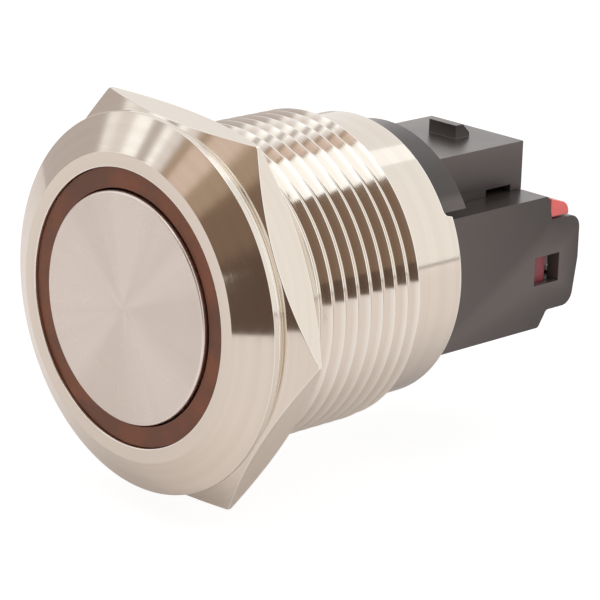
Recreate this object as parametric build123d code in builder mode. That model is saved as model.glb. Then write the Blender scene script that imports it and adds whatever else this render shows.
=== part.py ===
from build123d import *
import os
from math import cos, pi, radians, tan

# Illuminated metal push button for a 19 mm panel hole.
# All sizes are in millimetres. The origin is at the centre of the bezel's underside, which is
# the plane of the panel's front face. The button faces -Y, the body runs back along +Y, +Z is up.

# Clearances
SLIP = 0.05           # radial, between pieces that slide or turn on each other
SEAT = 0.02           # radial, between round pieces fixed in each other
SLOT_AIR = 0.10       # each side, between a metal strip and the slot it passes through
GUIDE_AIR = 0.10      # radial, round the light ring's skirt and the lamp board

# Metal shell: bezel, threaded barrel and plain collar, turned from one bar
THREAD_D = 19.0
THREAD_PITCH = 1.0
THREAD_GROOVE_W = 0.48 # of each ring groove that stands for a turn of the thread
THREAD_FLANK = 30     # degrees, of each side of a groove
BEZEL_OVERHANG = 1.70 # radial, past the thread
BEZEL_RIM_W = 0.86    # flat face round the light ring
BEZEL_H = 1.64
BEZEL_LAND = 0.375    # cylindrical rim left behind the bezel's cone
BARREL_L = 12.82
COLLAR_STEP = 0.11    # collar's radius under the thread's root
COLLAR_L = 4.16
COLLAR_RELIEF = 0.57  # upper part of the collar's rear rim is shorter
COLLAR_RELIEF_Z = 4.0
COLLAR_RELIEF_R = 0.45
EDGE = 0.12           # broken edge on turned metal
RUNOUT_L = 0.60       # ring groove that ends the thread under the nut
RUNOUT_DEPTH = 0.20
SEAL_GROOVE_DEPTH = 0.60
RING_SEAT_DEPTH = 0.50
RING_WALL = 1.31      # metal between the light ring's seat and the thread's crests
BARREL_WALL = 1.50    # metal between the rear bore and the thread's crests
SHOULDER_W = 0.50     # step from the rear bore to the guide bore

# Light ring and button cap
RING_W = 1.22
RING_RECESS = 0.20
RING_SKIRT_L = 3.30
CAP_GAP = 0.10        # radial gap between cap and light ring
CAP_PROUD = 0.10
CAP_EDGE_R = 0.15
CAP_FACE_T = 1.20
CAP_H = 3.34
CAP_WALL = 1.15
CAP_BOSS_L = 1.40
CAP_BOSS_STEP = 0.30  # boss's radius past the plunger's
SPIGOT_STEP = 0.70    # plunger's radius past the spigot's
SPIGOT_L = 1.15
TRAVEL = 2.20         # full stroke of the button
STOP_AIR = 0.10       # left between boss and hub at full stroke
O_RING_D = 0.58       # section of the button's seal
O_RING_SETBACK = 0.84 # from the back of the cap's face to the groove
O_RING_GROOVE_W = 0.80

# Lamp board, its LEDs and the guide sleeve that carries them
LED_COUNT = 6
LED_AIR = 0.20        # between the pressed cap and the LEDs
LED_H = 0.40
LED_W = 1.00
LED_DEPTH = 0.70
BOARD_T = 0.60
SLEEVE_SPIGOT_L = 1.50
SLEEVE_FLANGE_T = 1.10
HUB_WALL = 1.05
PLUNGER_D = 3.8

# Return spring
SPRING_HUB_AIR = 0.675
SPRING_BOARD_AIR = 0.275
SPRING_WIRE_D = 0.45
SPRING_TURNS = 4.5

# Plunger's rear end, clip and contact bridge
CLIP_T = 0.40
CLIP_OVERLAP = 1.00   # radial, past the plunger
CLIP_GROOVE_DEPTH = 0.40
CLIP_MOUTH = 2.0
BRIDGE_SETBACK = 3.40
BRIDGE_T = 0.40
BRIDGE_W = 3.0
BRIDGE_ARM_L = 1.60
PEG_STEP = 0.90       # plunger's radius past the peg's
PLUNGER_PEG_L = 1.40
PUSH_WASHER_W = 0.80  # radial, past the peg
PUSH_WASHER_T = 0.35
TIP_D = 1.0
TIP_H = 0.25
TIP_TAPER = 25        # degrees

# Metal strips and their pins
STRIP_T = 0.40
PIN_PITCH = 2.20
PIN_H = 1.20
PIN_Z = -1.575        # centre height of the row of pins
PAD_TOP = 1.0
PAD_MARGIN = 1.4      # strip ahead of the tips at rest
CONTACT_GAP = 0.60    # between the two fixed pads that the tips pass
NC_TAIL_Z = 1.55
NC_TAIL_H = 0.85
STRIP_BEND_SETBACK = 0.40
LEAD_H = 0.70
LEAD_FOOT_INSET = 1.30 # from the lamp board's edge
LEAD_Z = 4.25         # centre height of the two lamp leads, one above and one below
PIN_BACKSET = 2.33    # pins end this far inside the terminal block

# Black switch base: round part in the barrel, raised box behind it
CHAMBER_L = 8.10
CHAMBER_HALF_H = 3.2
BASE_WALL = 1.20      # behind the contact chamber
BASE_STEP_L = 2.15    # upper segment and spigot, behind the rest of the round part
BASE_STEP_Z = 3.95    # lower side of the upper segment
BASE_SPIGOT_BOTTOM = -3.70
BOX_W = 7.92
BOX_TOP = 6.25
BOX_WALL = 0.85
LUG_W = 2.3
LUG_H = 0.85
LUG_L = 1.25
LUG_SETBACK = 4.90
LUG_CHAMFER = 0.60
BOX_SLOT_L = 2.20
BOX_SLOT_H = 0.45
BOX_SLOT_BACKSET = 1.0
RESISTOR_D = 1.60
RESISTOR_L = 3.40
RESISTOR_EDGE_R = 0.27
RESISTOR_WIRE_D = 0.45
RESISTOR_TAIL_L = 0.70
RESISTOR_LOCK_GAP = 1.25 # from its rear wire's centre to the lock plate
RESISTOR_END_AIR = 0.56  # from its rear wire's centre to the box's rear wall

# Terminal block below and behind the box
CELL_SIDE_WALL = 0.96 # outside the last cell on each side
BLOCK_TOP = 3.15
BLOCK_BOTTOM = -5.28
BLOCK_RIM_GAP = 0.10  # from the end of the collar, or of the base's round part, to the block
BLOCK_L = 13.15
BLOCK_FLOOR_L = 9.76  # flat underside
BLOCK_FLOOR_T = 0.42  # wall under the pocket
BLOCK_REAR_FLOOR = -4.24
BLOCK_RAMP_L = 0.70
BLOCK_REAR_SLANT = 0.47
BLOCK_WAIST = -1.26   # height at which the rear face starts to slant in
BLOCK_EDGE_R = 0.30
BLOCK_REAR_R = 0.90
NOTCH_EDGE_R = 0.35
NOTCH_L = 2.96
NOTCH_FLOOR = 1.565
NOTCH_SLANT = 0.36
BLOCK_WALL = 0.86      # beside the pocket
BLOCK_POCKET_L = 3.72
BLOCK_POCKET_TOP = 2.50
BLOCK_WEB_L = 1.20
CELL_W = 1.70
CELL_H = 1.90
CELL_WALL = 1.00      # rear wall of the cells
ENTRY_W = 1.10        # opening for a wire terminal in the cells' rear wall and in the lock
ENTRY_H = 1.60
WINDOW_L = 2.20
WINDOW_H = 1.83
WINDOW_BACKSET = 1.76

# Red lock plate of the terminal block
LOCK_T = 0.90
LOCK_BACKSET = 3.18
LOCK_SIDE_WALL = 0.50 # outside the lock's slot
LOCK_TOP = 2.10
LOCK_BOTTOM = -3.30
LOCK_TAB_L = 1.74
LOCK_TAB_BOTTOM = 1.65
LOCK_TAB_TOP = 2.85   # at the front
LOCK_TAB_REAR_TOP = 2.35
LOCK_TAB_R = 0.80
LOCK_TAB_INSET = 0.20

# Panel seal, washer and nut
SEAL_W = 0.80
SEAL_PROUD = 0.20
WASHER_OVERHANG = 1.40 # radial, past the thread
WASHER_T = 0.25
NUT_WALL = 1.50       # from the thread's crests to a flat
NUT_T = 2.60
NUT_TURN = -4.3       # degrees, the nut's position as it was left on the thread
NUT_CONE_INSET = 0.40 # from a flat to the start of the cone
NUT_CONE_ANGLE = 30.0
NUT_LAND = 0.10       # least width left between the two cones at a corner
NUT_LEAD_IN = 0.35

# Radii
THREAD_R = THREAD_D / 2
THREAD_DEPTH = 0.6134 * THREAD_PITCH
BEZEL_R = THREAD_R + BEZEL_OVERHANG
COLLAR_R = THREAD_R - THREAD_DEPTH - COLLAR_STEP
REAR_BORE_R = THREAD_R - BARREL_WALL
GUIDE_BORE_R = REAR_BORE_R - SHOULDER_W
RING_SEAT_R = THREAD_R - RING_WALL
RING_R = RING_SEAT_R - SEAT
RING_BORE_R = RING_R - RING_W
RING_SKIRT_R = GUIDE_BORE_R - GUIDE_AIR
BEZEL_FACE_R = RING_SEAT_R + BEZEL_RIM_W
CAP_R = RING_BORE_R - CAP_GAP
BOARD_R = GUIDE_BORE_R - GUIDE_AIR
BASE_R = REAR_BORE_R - SLIP
PLUNGER_R = PLUNGER_D / 2
SPIGOT_R = PLUNGER_R - SPIGOT_STEP
PEG_R = PLUNGER_R - PEG_STEP
CLIP_GROOVE_R = PLUNGER_R - CLIP_GROOVE_DEPTH
CLIP_R = PLUNGER_R + CLIP_OVERLAP
HUB_R = PLUNGER_R + SLIP + HUB_WALL
SPRING_WIRE_R = SPRING_WIRE_D / 2
SPRING_R = HUB_R + SPRING_HUB_AIR + SPRING_WIRE_R
BOARD_HOLE_R = SPRING_R + SPRING_WIRE_R + SPRING_BOARD_AIR
WASHER_R = THREAD_R + WASHER_OVERHANG
NUT_FLAT_R = THREAD_R + NUT_WALL
NUT_CONE_R = NUT_FLAT_R - NUT_CONE_INSET
STRIP_X = 2 * PIN_PITCH
STRIP_INNER_X = STRIP_X - STRIP_T / 2
CHAMBER_HALF_W = STRIP_X + STRIP_T / 2

# Stations along the axis, from the front to the rear
BEZEL_Y = -BEZEL_H
CAP_Y = BEZEL_Y - CAP_PROUD
CAP_BACK_Y = CAP_Y + CAP_FACE_T
CAP_END_Y = CAP_Y + CAP_H
RING_Y = BEZEL_Y + RING_RECESS
RING_SKIRT_END_Y = RING_SEAT_DEPTH + RING_SKIRT_L
SEAL_Y = SEAL_PROUD
NUT_Y = SEAL_Y + WASHER_T
NUT_END_Y = NUT_Y + NUT_T
LED_Y = max(CAP_END_Y + TRAVEL, RING_SKIRT_END_Y) + LED_AIR
BOARD_Y = LED_Y + LED_H
SLEEVE_Y = BOARD_Y + BOARD_T
SHOULDER_Y = SLEEVE_Y + SLEEVE_SPIGOT_L
BASE_Y = SHOULDER_Y + SLEEVE_FLANGE_T
BOSS_END_Y = CAP_BACK_Y + CAP_BOSS_L
HUB_Y = BOSS_END_Y + TRAVEL + STOP_AIR
CLIP_Y = BASE_Y + SLIP
BRIDGE_Y = BASE_Y + BRIDGE_SETBACK
TIP_Y = BRIDGE_Y + BRIDGE_ARM_L - TIP_D / 2
PAD_SPLIT_Y = TIP_Y + TRAVEL / 2
CHAMBER_END_Y = BASE_Y + CHAMBER_L
BASE_DISC_END_Y = CHAMBER_END_Y + BASE_WALL
BASE_END_Y = BASE_DISC_END_Y + BASE_STEP_L
COLLAR_END_Y = BARREL_L + COLLAR_L
BLOCK_Y = max(COLLAR_END_Y, BASE_DISC_END_Y) + BLOCK_RIM_GAP
BLOCK_POCKET_END_Y = BLOCK_Y + BLOCK_POCKET_L
CELL_Y = BLOCK_POCKET_END_Y + BLOCK_WEB_L
BLOCK_END_Y = BLOCK_Y + BLOCK_L
PIN_END_Y = BLOCK_END_Y - PIN_BACKSET
LOCK_Y = BLOCK_END_Y - LOCK_BACKSET - SLOT_AIR
LOCK_END_Y = LOCK_Y + LOCK_T
NOTCH_Y = BLOCK_END_Y - NOTCH_L
WINDOW_END_Y = BLOCK_END_Y - WINDOW_BACKSET
STRIP_BEND_Y = CHAMBER_END_Y - STRIP_BEND_SETBACK
LEAD_TOP = LEAD_Z + LEAD_H / 2
LEAD_BOTTOM = LEAD_Z - LEAD_H / 2
BOX_CAVITY_Y = BASE_END_Y + BOX_WALL
RESISTOR_TAIL_Y = LOCK_Y - RESISTOR_LOCK_GAP
RESISTOR_Y = RESISTOR_TAIL_Y - RESISTOR_TAIL_L - RESISTOR_L
LAMP_LEAD_END_Y = RESISTOR_Y - RESISTOR_TAIL_L
BOX_END_Y = RESISTOR_TAIL_Y + RESISTOR_END_AIR + BOX_WALL
PIN_TOP = PIN_Z + PIN_H / 2
PIN_BOTTOM = PIN_Z - PIN_H / 2
LEAD_FOOT_TOP = BOARD_R - LEAD_FOOT_INSET

PIN_XS = [i * PIN_PITCH for i in (-2, -1, 0, 1, 2)]
COM_X, LAMP_PLUS_X, LAMP_MINUS_X, NO_X, NC_X = PIN_XS
BLOCK_HALF_W = NC_X + CELL_W / 2 + CELL_SIDE_WALL
BOX_HALF_W = BOX_W / 2
BLOCK_POCKET_HALF_W = BLOCK_HALF_W - BLOCK_WALL
LOCK_SLOT_HALF_W = BLOCK_HALF_W - LOCK_SIDE_WALL
LOCK_HALF_W = LOCK_SLOT_HALF_W - SLOT_AIR

# Ring grooves on the free thread: a whole number of turns between the nut and the chamfer
THREAD_GROOVE_DEPTH = THREAD_GROOVE_W / 2 / tan(radians(THREAD_FLANK))
THREAD_GROOVES = int((BARREL_L - THREAD_DEPTH - NUT_END_Y) / THREAD_PITCH)
THREAD_RIDGES = [
    (THREAD_R - depth, NUT_END_Y + (turn + 0.5) * THREAD_PITCH + offset)
    for turn in range(THREAD_GROOVES)
    for depth, offset in ((0, -THREAD_GROOVE_W / 2), (THREAD_GROOVE_DEPTH, 0), (0, THREAD_GROOVE_W / 2))
]


def across(y):
    """Plane across the axis at station y, as seen from the front: X to the right, Z up."""
    return Plane(origin=(0, y, 0), x_dir=(1, 0, 0), z_dir=(0, -1, 0))


def beside(x):
    """Plane along the axis at the side x: Y to the right, Z up."""
    return Plane.YZ.offset(x)


def save(piece, name):
    """Give the finished piece its name and write it."""
    piece.part.label = name
    export_step(piece.part, f"parts/{name}.step")


def turned(outline):
    """Solid of revolution about the axis, from (radius, station) points."""
    with BuildPart() as piece:
        with BuildSketch(Plane.XY) as profile:
            with BuildLine():
                Polyline(*outline, close=True)
            make_face()
        revolve(profile.sketch, axis=Axis.Y)
    return piece


def upright_plate(x, thickness, outline):
    """Flat plate standing along the axis, centred on the side x, from (station, height) points."""
    with BuildPart() as piece:
        with BuildSketch(beside(x)) as profile:
            with BuildLine():
                Polyline(*outline, close=True)
            make_face()
        extrude(profile.sketch, amount=thickness / 2, both=True)
    return piece


def cut_box(low, high):
    """Cut the box between two corners out of the part being built."""
    size = [b - a for a, b in zip(low, high)]
    with Locations([((low[0] + high[0]) / 2, (low[1] + high[1]) / 2, (low[2] + high[2]) / 2)]):
        Box(*size, mode=Mode.SUBTRACT)


os.makedirs("parts", exist_ok=True)

# Shell
with BuildPart() as shell:
    with BuildSketch(Plane.XY) as shell_profile:
        with BuildLine():
            Polyline(
                (RING_SEAT_R, BEZEL_Y),
                (BEZEL_FACE_R, BEZEL_Y),
                (BEZEL_R, -BEZEL_LAND),
                (BEZEL_R, -EDGE),
                (BEZEL_R - EDGE, 0),
                (THREAD_R + SLIP + SEAL_W, 0),
                (THREAD_R + SLIP + SEAL_W, -SEAL_GROOVE_DEPTH),
                (THREAD_R, -SEAL_GROOVE_DEPTH),
                (THREAD_R, NUT_END_Y - RUNOUT_L),
                (THREAD_R - RUNOUT_DEPTH, NUT_END_Y - RUNOUT_L),
                (THREAD_R - RUNOUT_DEPTH, NUT_END_Y),
                (THREAD_R, NUT_END_Y),
                *THREAD_RIDGES,
                (THREAD_R, BARREL_L - THREAD_DEPTH),
                (COLLAR_R, BARREL_L + COLLAR_STEP),
                (COLLAR_R, COLLAR_END_Y - EDGE),
                (COLLAR_R - EDGE, COLLAR_END_Y),
                (REAR_BORE_R, COLLAR_END_Y),
                (REAR_BORE_R, SHOULDER_Y),
                (GUIDE_BORE_R, SHOULDER_Y),
                (GUIDE_BORE_R, RING_SEAT_DEPTH),
                (RING_SEAT_R, RING_SEAT_DEPTH),
                close=True,
            )
        make_face()
    revolve(shell_profile.sketch, axis=Axis.Y)
    # The rear rim is shorter above the terminal block, with a rounded step on each side
    with BuildSketch(Plane.YZ) as rim_relief:
        with BuildLine():
            FilletPolyline(
                (COLLAR_END_Y + COLLAR_RELIEF, COLLAR_RELIEF_Z),
                (COLLAR_END_Y - COLLAR_RELIEF, COLLAR_RELIEF_Z),
                (COLLAR_END_Y - COLLAR_RELIEF, BEZEL_R),
                (COLLAR_END_Y + COLLAR_RELIEF, BEZEL_R),
                radius=[0, COLLAR_RELIEF_R, 0, 0],
                close=True,
            )
        make_face()
    extrude(rim_relief.sketch, amount=BEZEL_R, both=True, mode=Mode.SUBTRACT)
save(shell, "shell")

# Light ring: visible ring and the skirt that brings the LEDs' light to it
light_ring = turned(
    [
        (RING_BORE_R, RING_Y),
        (RING_R, RING_Y),
        (RING_R, RING_SEAT_DEPTH),
        (RING_SKIRT_R, RING_SEAT_DEPTH),
        (RING_SKIRT_R, RING_SKIRT_END_Y),
        (RING_BORE_R, RING_SKIRT_END_Y),
    ]
)
save(light_ring, "light_ring")

# Button cap: face, skirt with the seal's groove, and a boss for the plunger
O_RING_Y = CAP_BACK_Y + O_RING_SETBACK
O_RING_GROOVE_R = RING_BORE_R - SEAT - O_RING_D
CAP_OUTLINE = [
    (0, CAP_Y),
    (CAP_R, CAP_Y),
    (CAP_R, O_RING_Y),
    (O_RING_GROOVE_R, O_RING_Y),
    (O_RING_GROOVE_R, O_RING_Y + O_RING_GROOVE_W),
    (CAP_R, O_RING_Y + O_RING_GROOVE_W),
    (CAP_R, CAP_END_Y),
    (CAP_R - CAP_WALL, CAP_END_Y),
    (CAP_R - CAP_WALL, CAP_BACK_Y),
    (PLUNGER_R + CAP_BOSS_STEP, CAP_BACK_Y),
    (PLUNGER_R + CAP_BOSS_STEP, BOSS_END_Y),
    (SPIGOT_R + SEAT, BOSS_END_Y),
    (SPIGOT_R + SEAT, BOSS_END_Y - SPIGOT_L - SLIP),
    (0, BOSS_END_Y - SPIGOT_L - SLIP),
]
CAP_CORNERS = [CAP_EDGE_R if point == (CAP_R, CAP_Y) else 0 for point in CAP_OUTLINE]
with BuildPart() as button_cap:
    with BuildSketch(Plane.XY) as cap_profile:
        with BuildLine():
            FilletPolyline(*CAP_OUTLINE, radius=CAP_CORNERS, close=True)
        make_face()
    revolve(cap_profile.sketch, axis=Axis.Y)
save(button_cap, "button_cap")

# Seal on the cap
with BuildPart() as button_seal:
    with BuildSketch(Plane.XY) as seal_section:
        with Locations((O_RING_GROOVE_R + O_RING_D / 2, O_RING_Y + O_RING_GROOVE_W / 2)):
            Circle(O_RING_D / 2)
    revolve(seal_section.sketch, axis=Axis.Y)
save(button_seal, "button_seal")

# Guide sleeve: spigot in the guide bore, flange on the shell's shoulder, hub round the plunger
with BuildPart() as guide_sleeve:
    with BuildSketch(Plane.XY) as sleeve_profile:
        with BuildLine():
            Polyline(
                (PLUNGER_R + SLIP, HUB_Y),
                (HUB_R, HUB_Y),
                (HUB_R, SLEEVE_Y),
                (GUIDE_BORE_R - SLIP, SLEEVE_Y),
                (GUIDE_BORE_R - SLIP, SHOULDER_Y),
                (BASE_R, SHOULDER_Y),
                (BASE_R, BASE_Y),
                (PLUNGER_R + SLIP, BASE_Y),
                close=True,
            )
        make_face()
    revolve(sleeve_profile.sketch, axis=Axis.Y)
    # A slot for each lamp lead, one above the plunger and one below
    for lead_x, side in ((LAMP_PLUS_X, 1), (LAMP_MINUS_X, -1)):
        slot_z = sorted((side * (LEAD_BOTTOM - SLOT_AIR), side * (LEAD_FOOT_TOP + SLOT_AIR)))
        cut_box(
            (lead_x - STRIP_T / 2 - SLOT_AIR, SLEEVE_Y, slot_z[0]),
            (lead_x + STRIP_T / 2 + SLOT_AIR, BASE_Y, slot_z[1]),
        )
save(guide_sleeve, "guide_sleeve")

# Lamp board
led_board = turned(
    [
        (BOARD_HOLE_R, BOARD_Y),
        (BOARD_R, BOARD_Y),
        (BOARD_R, SLEEVE_Y),
        (BOARD_HOLE_R, SLEEVE_Y),
    ]
)
save(led_board, "led_board")

# LEDs on the board, behind the light ring's skirt
LED_CIRCLE_R = BOARD_R - LED_DEPTH / 2 - SLOT_AIR
with BuildPart() as leds:
    with BuildSketch(across(BOARD_Y)) as led_chips:
        with PolarLocations(LED_CIRCLE_R, LED_COUNT, start_angle=180 / LED_COUNT):
            Rectangle(LED_DEPTH, LED_W)
    extrude(led_chips.sketch, amount=LED_H)
save(leds, "leds")

# Return spring between the cap and the sleeve, round the hub
SPRING_START_Y = CAP_BACK_Y + SPRING_WIRE_R + SEAT
SPRING_HEIGHT = SLEEVE_Y - SPRING_WIRE_R - SEAT - SPRING_START_Y
with BuildPart() as return_spring:
    with BuildLine() as coil:
        Helix(
            pitch=SPRING_HEIGHT / SPRING_TURNS,
            height=SPRING_HEIGHT,
            radius=SPRING_R,
            center=(0, SPRING_START_Y, 0),
            direction=(0, 1, 0),
        )
    with BuildSketch(Plane(origin=coil.line @ 0, z_dir=coil.line % 0)) as wire:
        Circle(SPRING_WIRE_R)
    sweep(wire.sketch, path=coil.line)
save(return_spring, "return_spring")

# Plunger: spigot in the cap, round stem in the hub, groove for the clip, peg for the bridge
with BuildPart() as plunger:
    with BuildSketch(Plane.XY) as plunger_profile:
        with BuildLine():
            Polyline(
                (0, BOSS_END_Y - SPIGOT_L),
                (SPIGOT_R, BOSS_END_Y - SPIGOT_L),
                (SPIGOT_R, BOSS_END_Y),
                (PLUNGER_R, BOSS_END_Y),
                (PLUNGER_R, CLIP_Y),
                (CLIP_GROOVE_R, CLIP_Y),
                (CLIP_GROOVE_R, CLIP_Y + CLIP_T),
                (PLUNGER_R, CLIP_Y + CLIP_T),
                (PLUNGER_R, BRIDGE_Y),
                (PEG_R, BRIDGE_Y),
                (PEG_R, BRIDGE_Y + PLUNGER_PEG_L),
                (0, BRIDGE_Y + PLUNGER_PEG_L),
                close=True,
            )
        make_face()
    revolve(plunger_profile.sketch, axis=Axis.Y)
save(plunger, "plunger")

# Retaining clip: an open ring in the plunger's groove that stops the button at rest
with BuildPart() as retaining_clip:
    with BuildSketch(across(CLIP_Y + CLIP_T)) as clip_face:
        Circle(CLIP_R)
        Circle(CLIP_GROOVE_R + SEAT, mode=Mode.SUBTRACT)
        with Locations((0, -CLIP_R / 2)):
            Rectangle(CLIP_MOUTH, CLIP_R, mode=Mode.SUBTRACT)
    extrude(clip_face.sketch, amount=CLIP_T)
save(retaining_clip, "retaining_clip")

# Contact bridge: a strip with an arm bent back at each end, on the plunger's peg
ARM_OUTER_X = STRIP_INNER_X - SLIP - TIP_H
BRIDGE_END_Y = BRIDGE_Y + BRIDGE_ARM_L
with BuildPart() as contact_bridge:
    with BuildSketch(Plane.XY) as bridge_profile:
        with BuildLine():
            Polyline(
                (-ARM_OUTER_X, BRIDGE_Y),
                (ARM_OUTER_X, BRIDGE_Y),
                (ARM_OUTER_X, BRIDGE_END_Y),
                (ARM_OUTER_X - BRIDGE_T, BRIDGE_END_Y),
                (ARM_OUTER_X - BRIDGE_T, BRIDGE_Y + BRIDGE_T),
                (-ARM_OUTER_X + BRIDGE_T, BRIDGE_Y + BRIDGE_T),
                (-ARM_OUTER_X + BRIDGE_T, BRIDGE_END_Y),
                (-ARM_OUTER_X, BRIDGE_END_Y),
                close=True,
            )
        make_face()
    extrude(bridge_profile.sketch, amount=BRIDGE_W / 2, both=True)
    with BuildSketch(across(BRIDGE_Y)) as peg_hole:
        Circle(PEG_R + SEAT)
    extrude(peg_hole.sketch, amount=-BRIDGE_T, mode=Mode.SUBTRACT)
save(contact_bridge, "contact_bridge")

# Silver tips riveted on the bridge's arms
with BuildPart() as bridge_tips:
    for side in (-1, 1):
        with BuildSketch(Plane(origin=(side * ARM_OUTER_X, TIP_Y, 0), z_dir=(side, 0, 0))):
            Circle(TIP_D / 2)
        extrude(amount=TIP_H, taper=TIP_TAPER)
save(bridge_tips, "bridge_tips")

# Push-on washer that keeps the bridge on the peg
push_washer = turned(
    [
        (PEG_R + SEAT, BRIDGE_Y + BRIDGE_T),
        (PEG_R + PUSH_WASHER_W, BRIDGE_Y + BRIDGE_T),
        (PEG_R + PUSH_WASHER_W, BRIDGE_Y + BRIDGE_T + PUSH_WASHER_T),
        (PEG_R + SEAT, BRIDGE_Y + BRIDGE_T + PUSH_WASHER_T),
    ]
)
save(push_washer, "push_washer")

# Switch base: round part with the contact chamber, its upper segment, the spigot that the
# terminal block plugs on, and the raised box with the resistor's bay
with BuildPart() as switch_base:
    with BuildSketch(across(BASE_Y)) as base_disc:
        Circle(BASE_R)
    extrude(base_disc.sketch, amount=BASE_Y - BASE_DISC_END_Y)
    with BuildSketch(across(BASE_DISC_END_Y)) as base_segment:
        Circle(BASE_R)
        with Locations((0, BASE_STEP_Z - BASE_R)):
            Rectangle(2 * BASE_R, 2 * BASE_R, mode=Mode.SUBTRACT)
    extrude(base_segment.sketch, amount=-BASE_STEP_L)
    with BuildSketch(across(BASE_DISC_END_Y)) as base_spigot:
        with Locations((0, (BASE_SPIGOT_BOTTOM + BLOCK_POCKET_TOP - SLIP) / 2)):
            Rectangle(2 * (BLOCK_POCKET_HALF_W - SLIP), BLOCK_POCKET_TOP - SLIP - BASE_SPIGOT_BOTTOM)
    extrude(base_spigot.sketch, amount=-BASE_STEP_L)
    with BuildSketch(beside(0)) as box_side:
        with BuildLine():
            Polyline(
                (BASE_DISC_END_Y, BLOCK_TOP),
                (BOX_END_Y, BLOCK_TOP),
                (BOX_END_Y, BOX_TOP),
                (BASE_DISC_END_Y, BOX_TOP),
                close=True,
            )
        make_face()
    extrude(box_side.sketch, amount=BOX_HALF_W, both=True)
    # Catch on the box's top
    LUG_Y = BASE_END_Y + LUG_SETBACK
    with BuildSketch(beside(0)) as lug_side:
        with BuildLine():
            Polyline(
                (LUG_Y, BOX_TOP),
                (LUG_Y + LUG_L, BOX_TOP),
                (LUG_Y + LUG_L, BOX_TOP + LUG_H - LUG_CHAMFER),
                (LUG_Y + LUG_L - LUG_CHAMFER, BOX_TOP + LUG_H),
                (LUG_Y, BOX_TOP + LUG_H),
                close=True,
            )
        make_face()
    extrude(lug_side.sketch, amount=LUG_W / 2, both=True)
    # Contact chamber
    cut_box(
        (-CHAMBER_HALF_W, BASE_Y, -CHAMBER_HALF_H),
        (CHAMBER_HALF_W, CHAMBER_END_Y, CHAMBER_HALF_H),
    )
    # Resistor's bay, open below, where the terminal block closes it
    cut_box(
        (-BOX_HALF_W + BOX_WALL, BOX_CAVITY_Y, BLOCK_TOP),
        (BOX_HALF_W - BOX_WALL, BOX_END_Y - BOX_WALL, BOX_TOP - BOX_WALL),
    )
    # Slots through which the strips and lamp leads leave
    cut_box(
        (LAMP_PLUS_X - STRIP_T / 2 - SLOT_AIR, BASE_Y, LEAD_BOTTOM - SLOT_AIR),
        (LAMP_PLUS_X + STRIP_T / 2 + SLOT_AIR, BOX_CAVITY_Y, LEAD_TOP + SLOT_AIR),
    )
    cut_box(
        (LAMP_MINUS_X - STRIP_T / 2 - SLOT_AIR, BASE_Y, -LEAD_TOP - SLOT_AIR),
        (LAMP_MINUS_X + STRIP_T / 2 + SLOT_AIR, BASE_DISC_END_Y, -LEAD_BOTTOM + SLOT_AIR),
    )
    cut_box(
        (NC_X - STRIP_T / 2 - SLOT_AIR, CHAMBER_END_Y, NC_TAIL_Z - SLOT_AIR),
        (NC_X + STRIP_T / 2 + SLOT_AIR, BASE_END_Y, NC_TAIL_Z + NC_TAIL_H + SLOT_AIR),
    )
    for pin_x in (COM_X, NO_X):
        cut_box(
            (pin_x - STRIP_T / 2 - SLOT_AIR, CHAMBER_END_Y, PIN_BOTTOM - SLOT_AIR),
            (pin_x + STRIP_T / 2 + SLOT_AIR, BASE_END_Y, PIN_TOP + SLOT_AIR),
        )
    # Narrow slot in each side of the box, along the terminal block's top
    for side in (-1, 1):
        wall_x = sorted((side * BOX_HALF_W, side * (BOX_HALF_W - BOX_WALL)))
        slot_end_y = BOX_END_Y - BOX_SLOT_BACKSET
        cut_box(
            (wall_x[0], slot_end_y - BOX_SLOT_L, BLOCK_TOP),
            (wall_x[1], slot_end_y, BLOCK_TOP + BOX_SLOT_H),
        )
save(switch_base, "switch_base")

# Common contact: one long pad and its pin
PAD_Y = TIP_Y - PAD_MARGIN
terminal_com = upright_plate(
    COM_X,
    STRIP_T,
    [
        (PAD_Y, PIN_BOTTOM),
        (PIN_END_Y, PIN_BOTTOM),
        (PIN_END_Y, PIN_TOP),
        (CHAMBER_END_Y, PIN_TOP),
        (CHAMBER_END_Y, PAD_TOP),
        (PAD_Y, PAD_TOP),
    ],
)
save(terminal_com, "terminal_com")

# Normally closed contact: short front pad, a tail over the other pad, down to its pin
NC_PAD_END_Y = PAD_SPLIT_Y - CONTACT_GAP / 2
NC_DROP_Y = BLOCK_POCKET_END_Y - SLOT_AIR - PIN_H
terminal_nc = upright_plate(
    NC_X,
    STRIP_T,
    [
        (PAD_Y, PIN_BOTTOM),
        (NC_PAD_END_Y, PIN_BOTTOM),
        (NC_PAD_END_Y, PAD_TOP),
        (NC_PAD_END_Y - PIN_H, PAD_TOP),
        (NC_PAD_END_Y - PIN_H, NC_TAIL_Z),
        (NC_DROP_Y, NC_TAIL_Z),
        (NC_DROP_Y, PIN_BOTTOM),
        (PIN_END_Y, PIN_BOTTOM),
        (PIN_END_Y, PIN_TOP),
        (NC_DROP_Y + PIN_H, PIN_TOP),
        (NC_DROP_Y + PIN_H, NC_TAIL_Z + NC_TAIL_H),
        (PAD_Y, NC_TAIL_Z + NC_TAIL_H),
    ],
)
save(terminal_nc, "terminal_nc")

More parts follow.
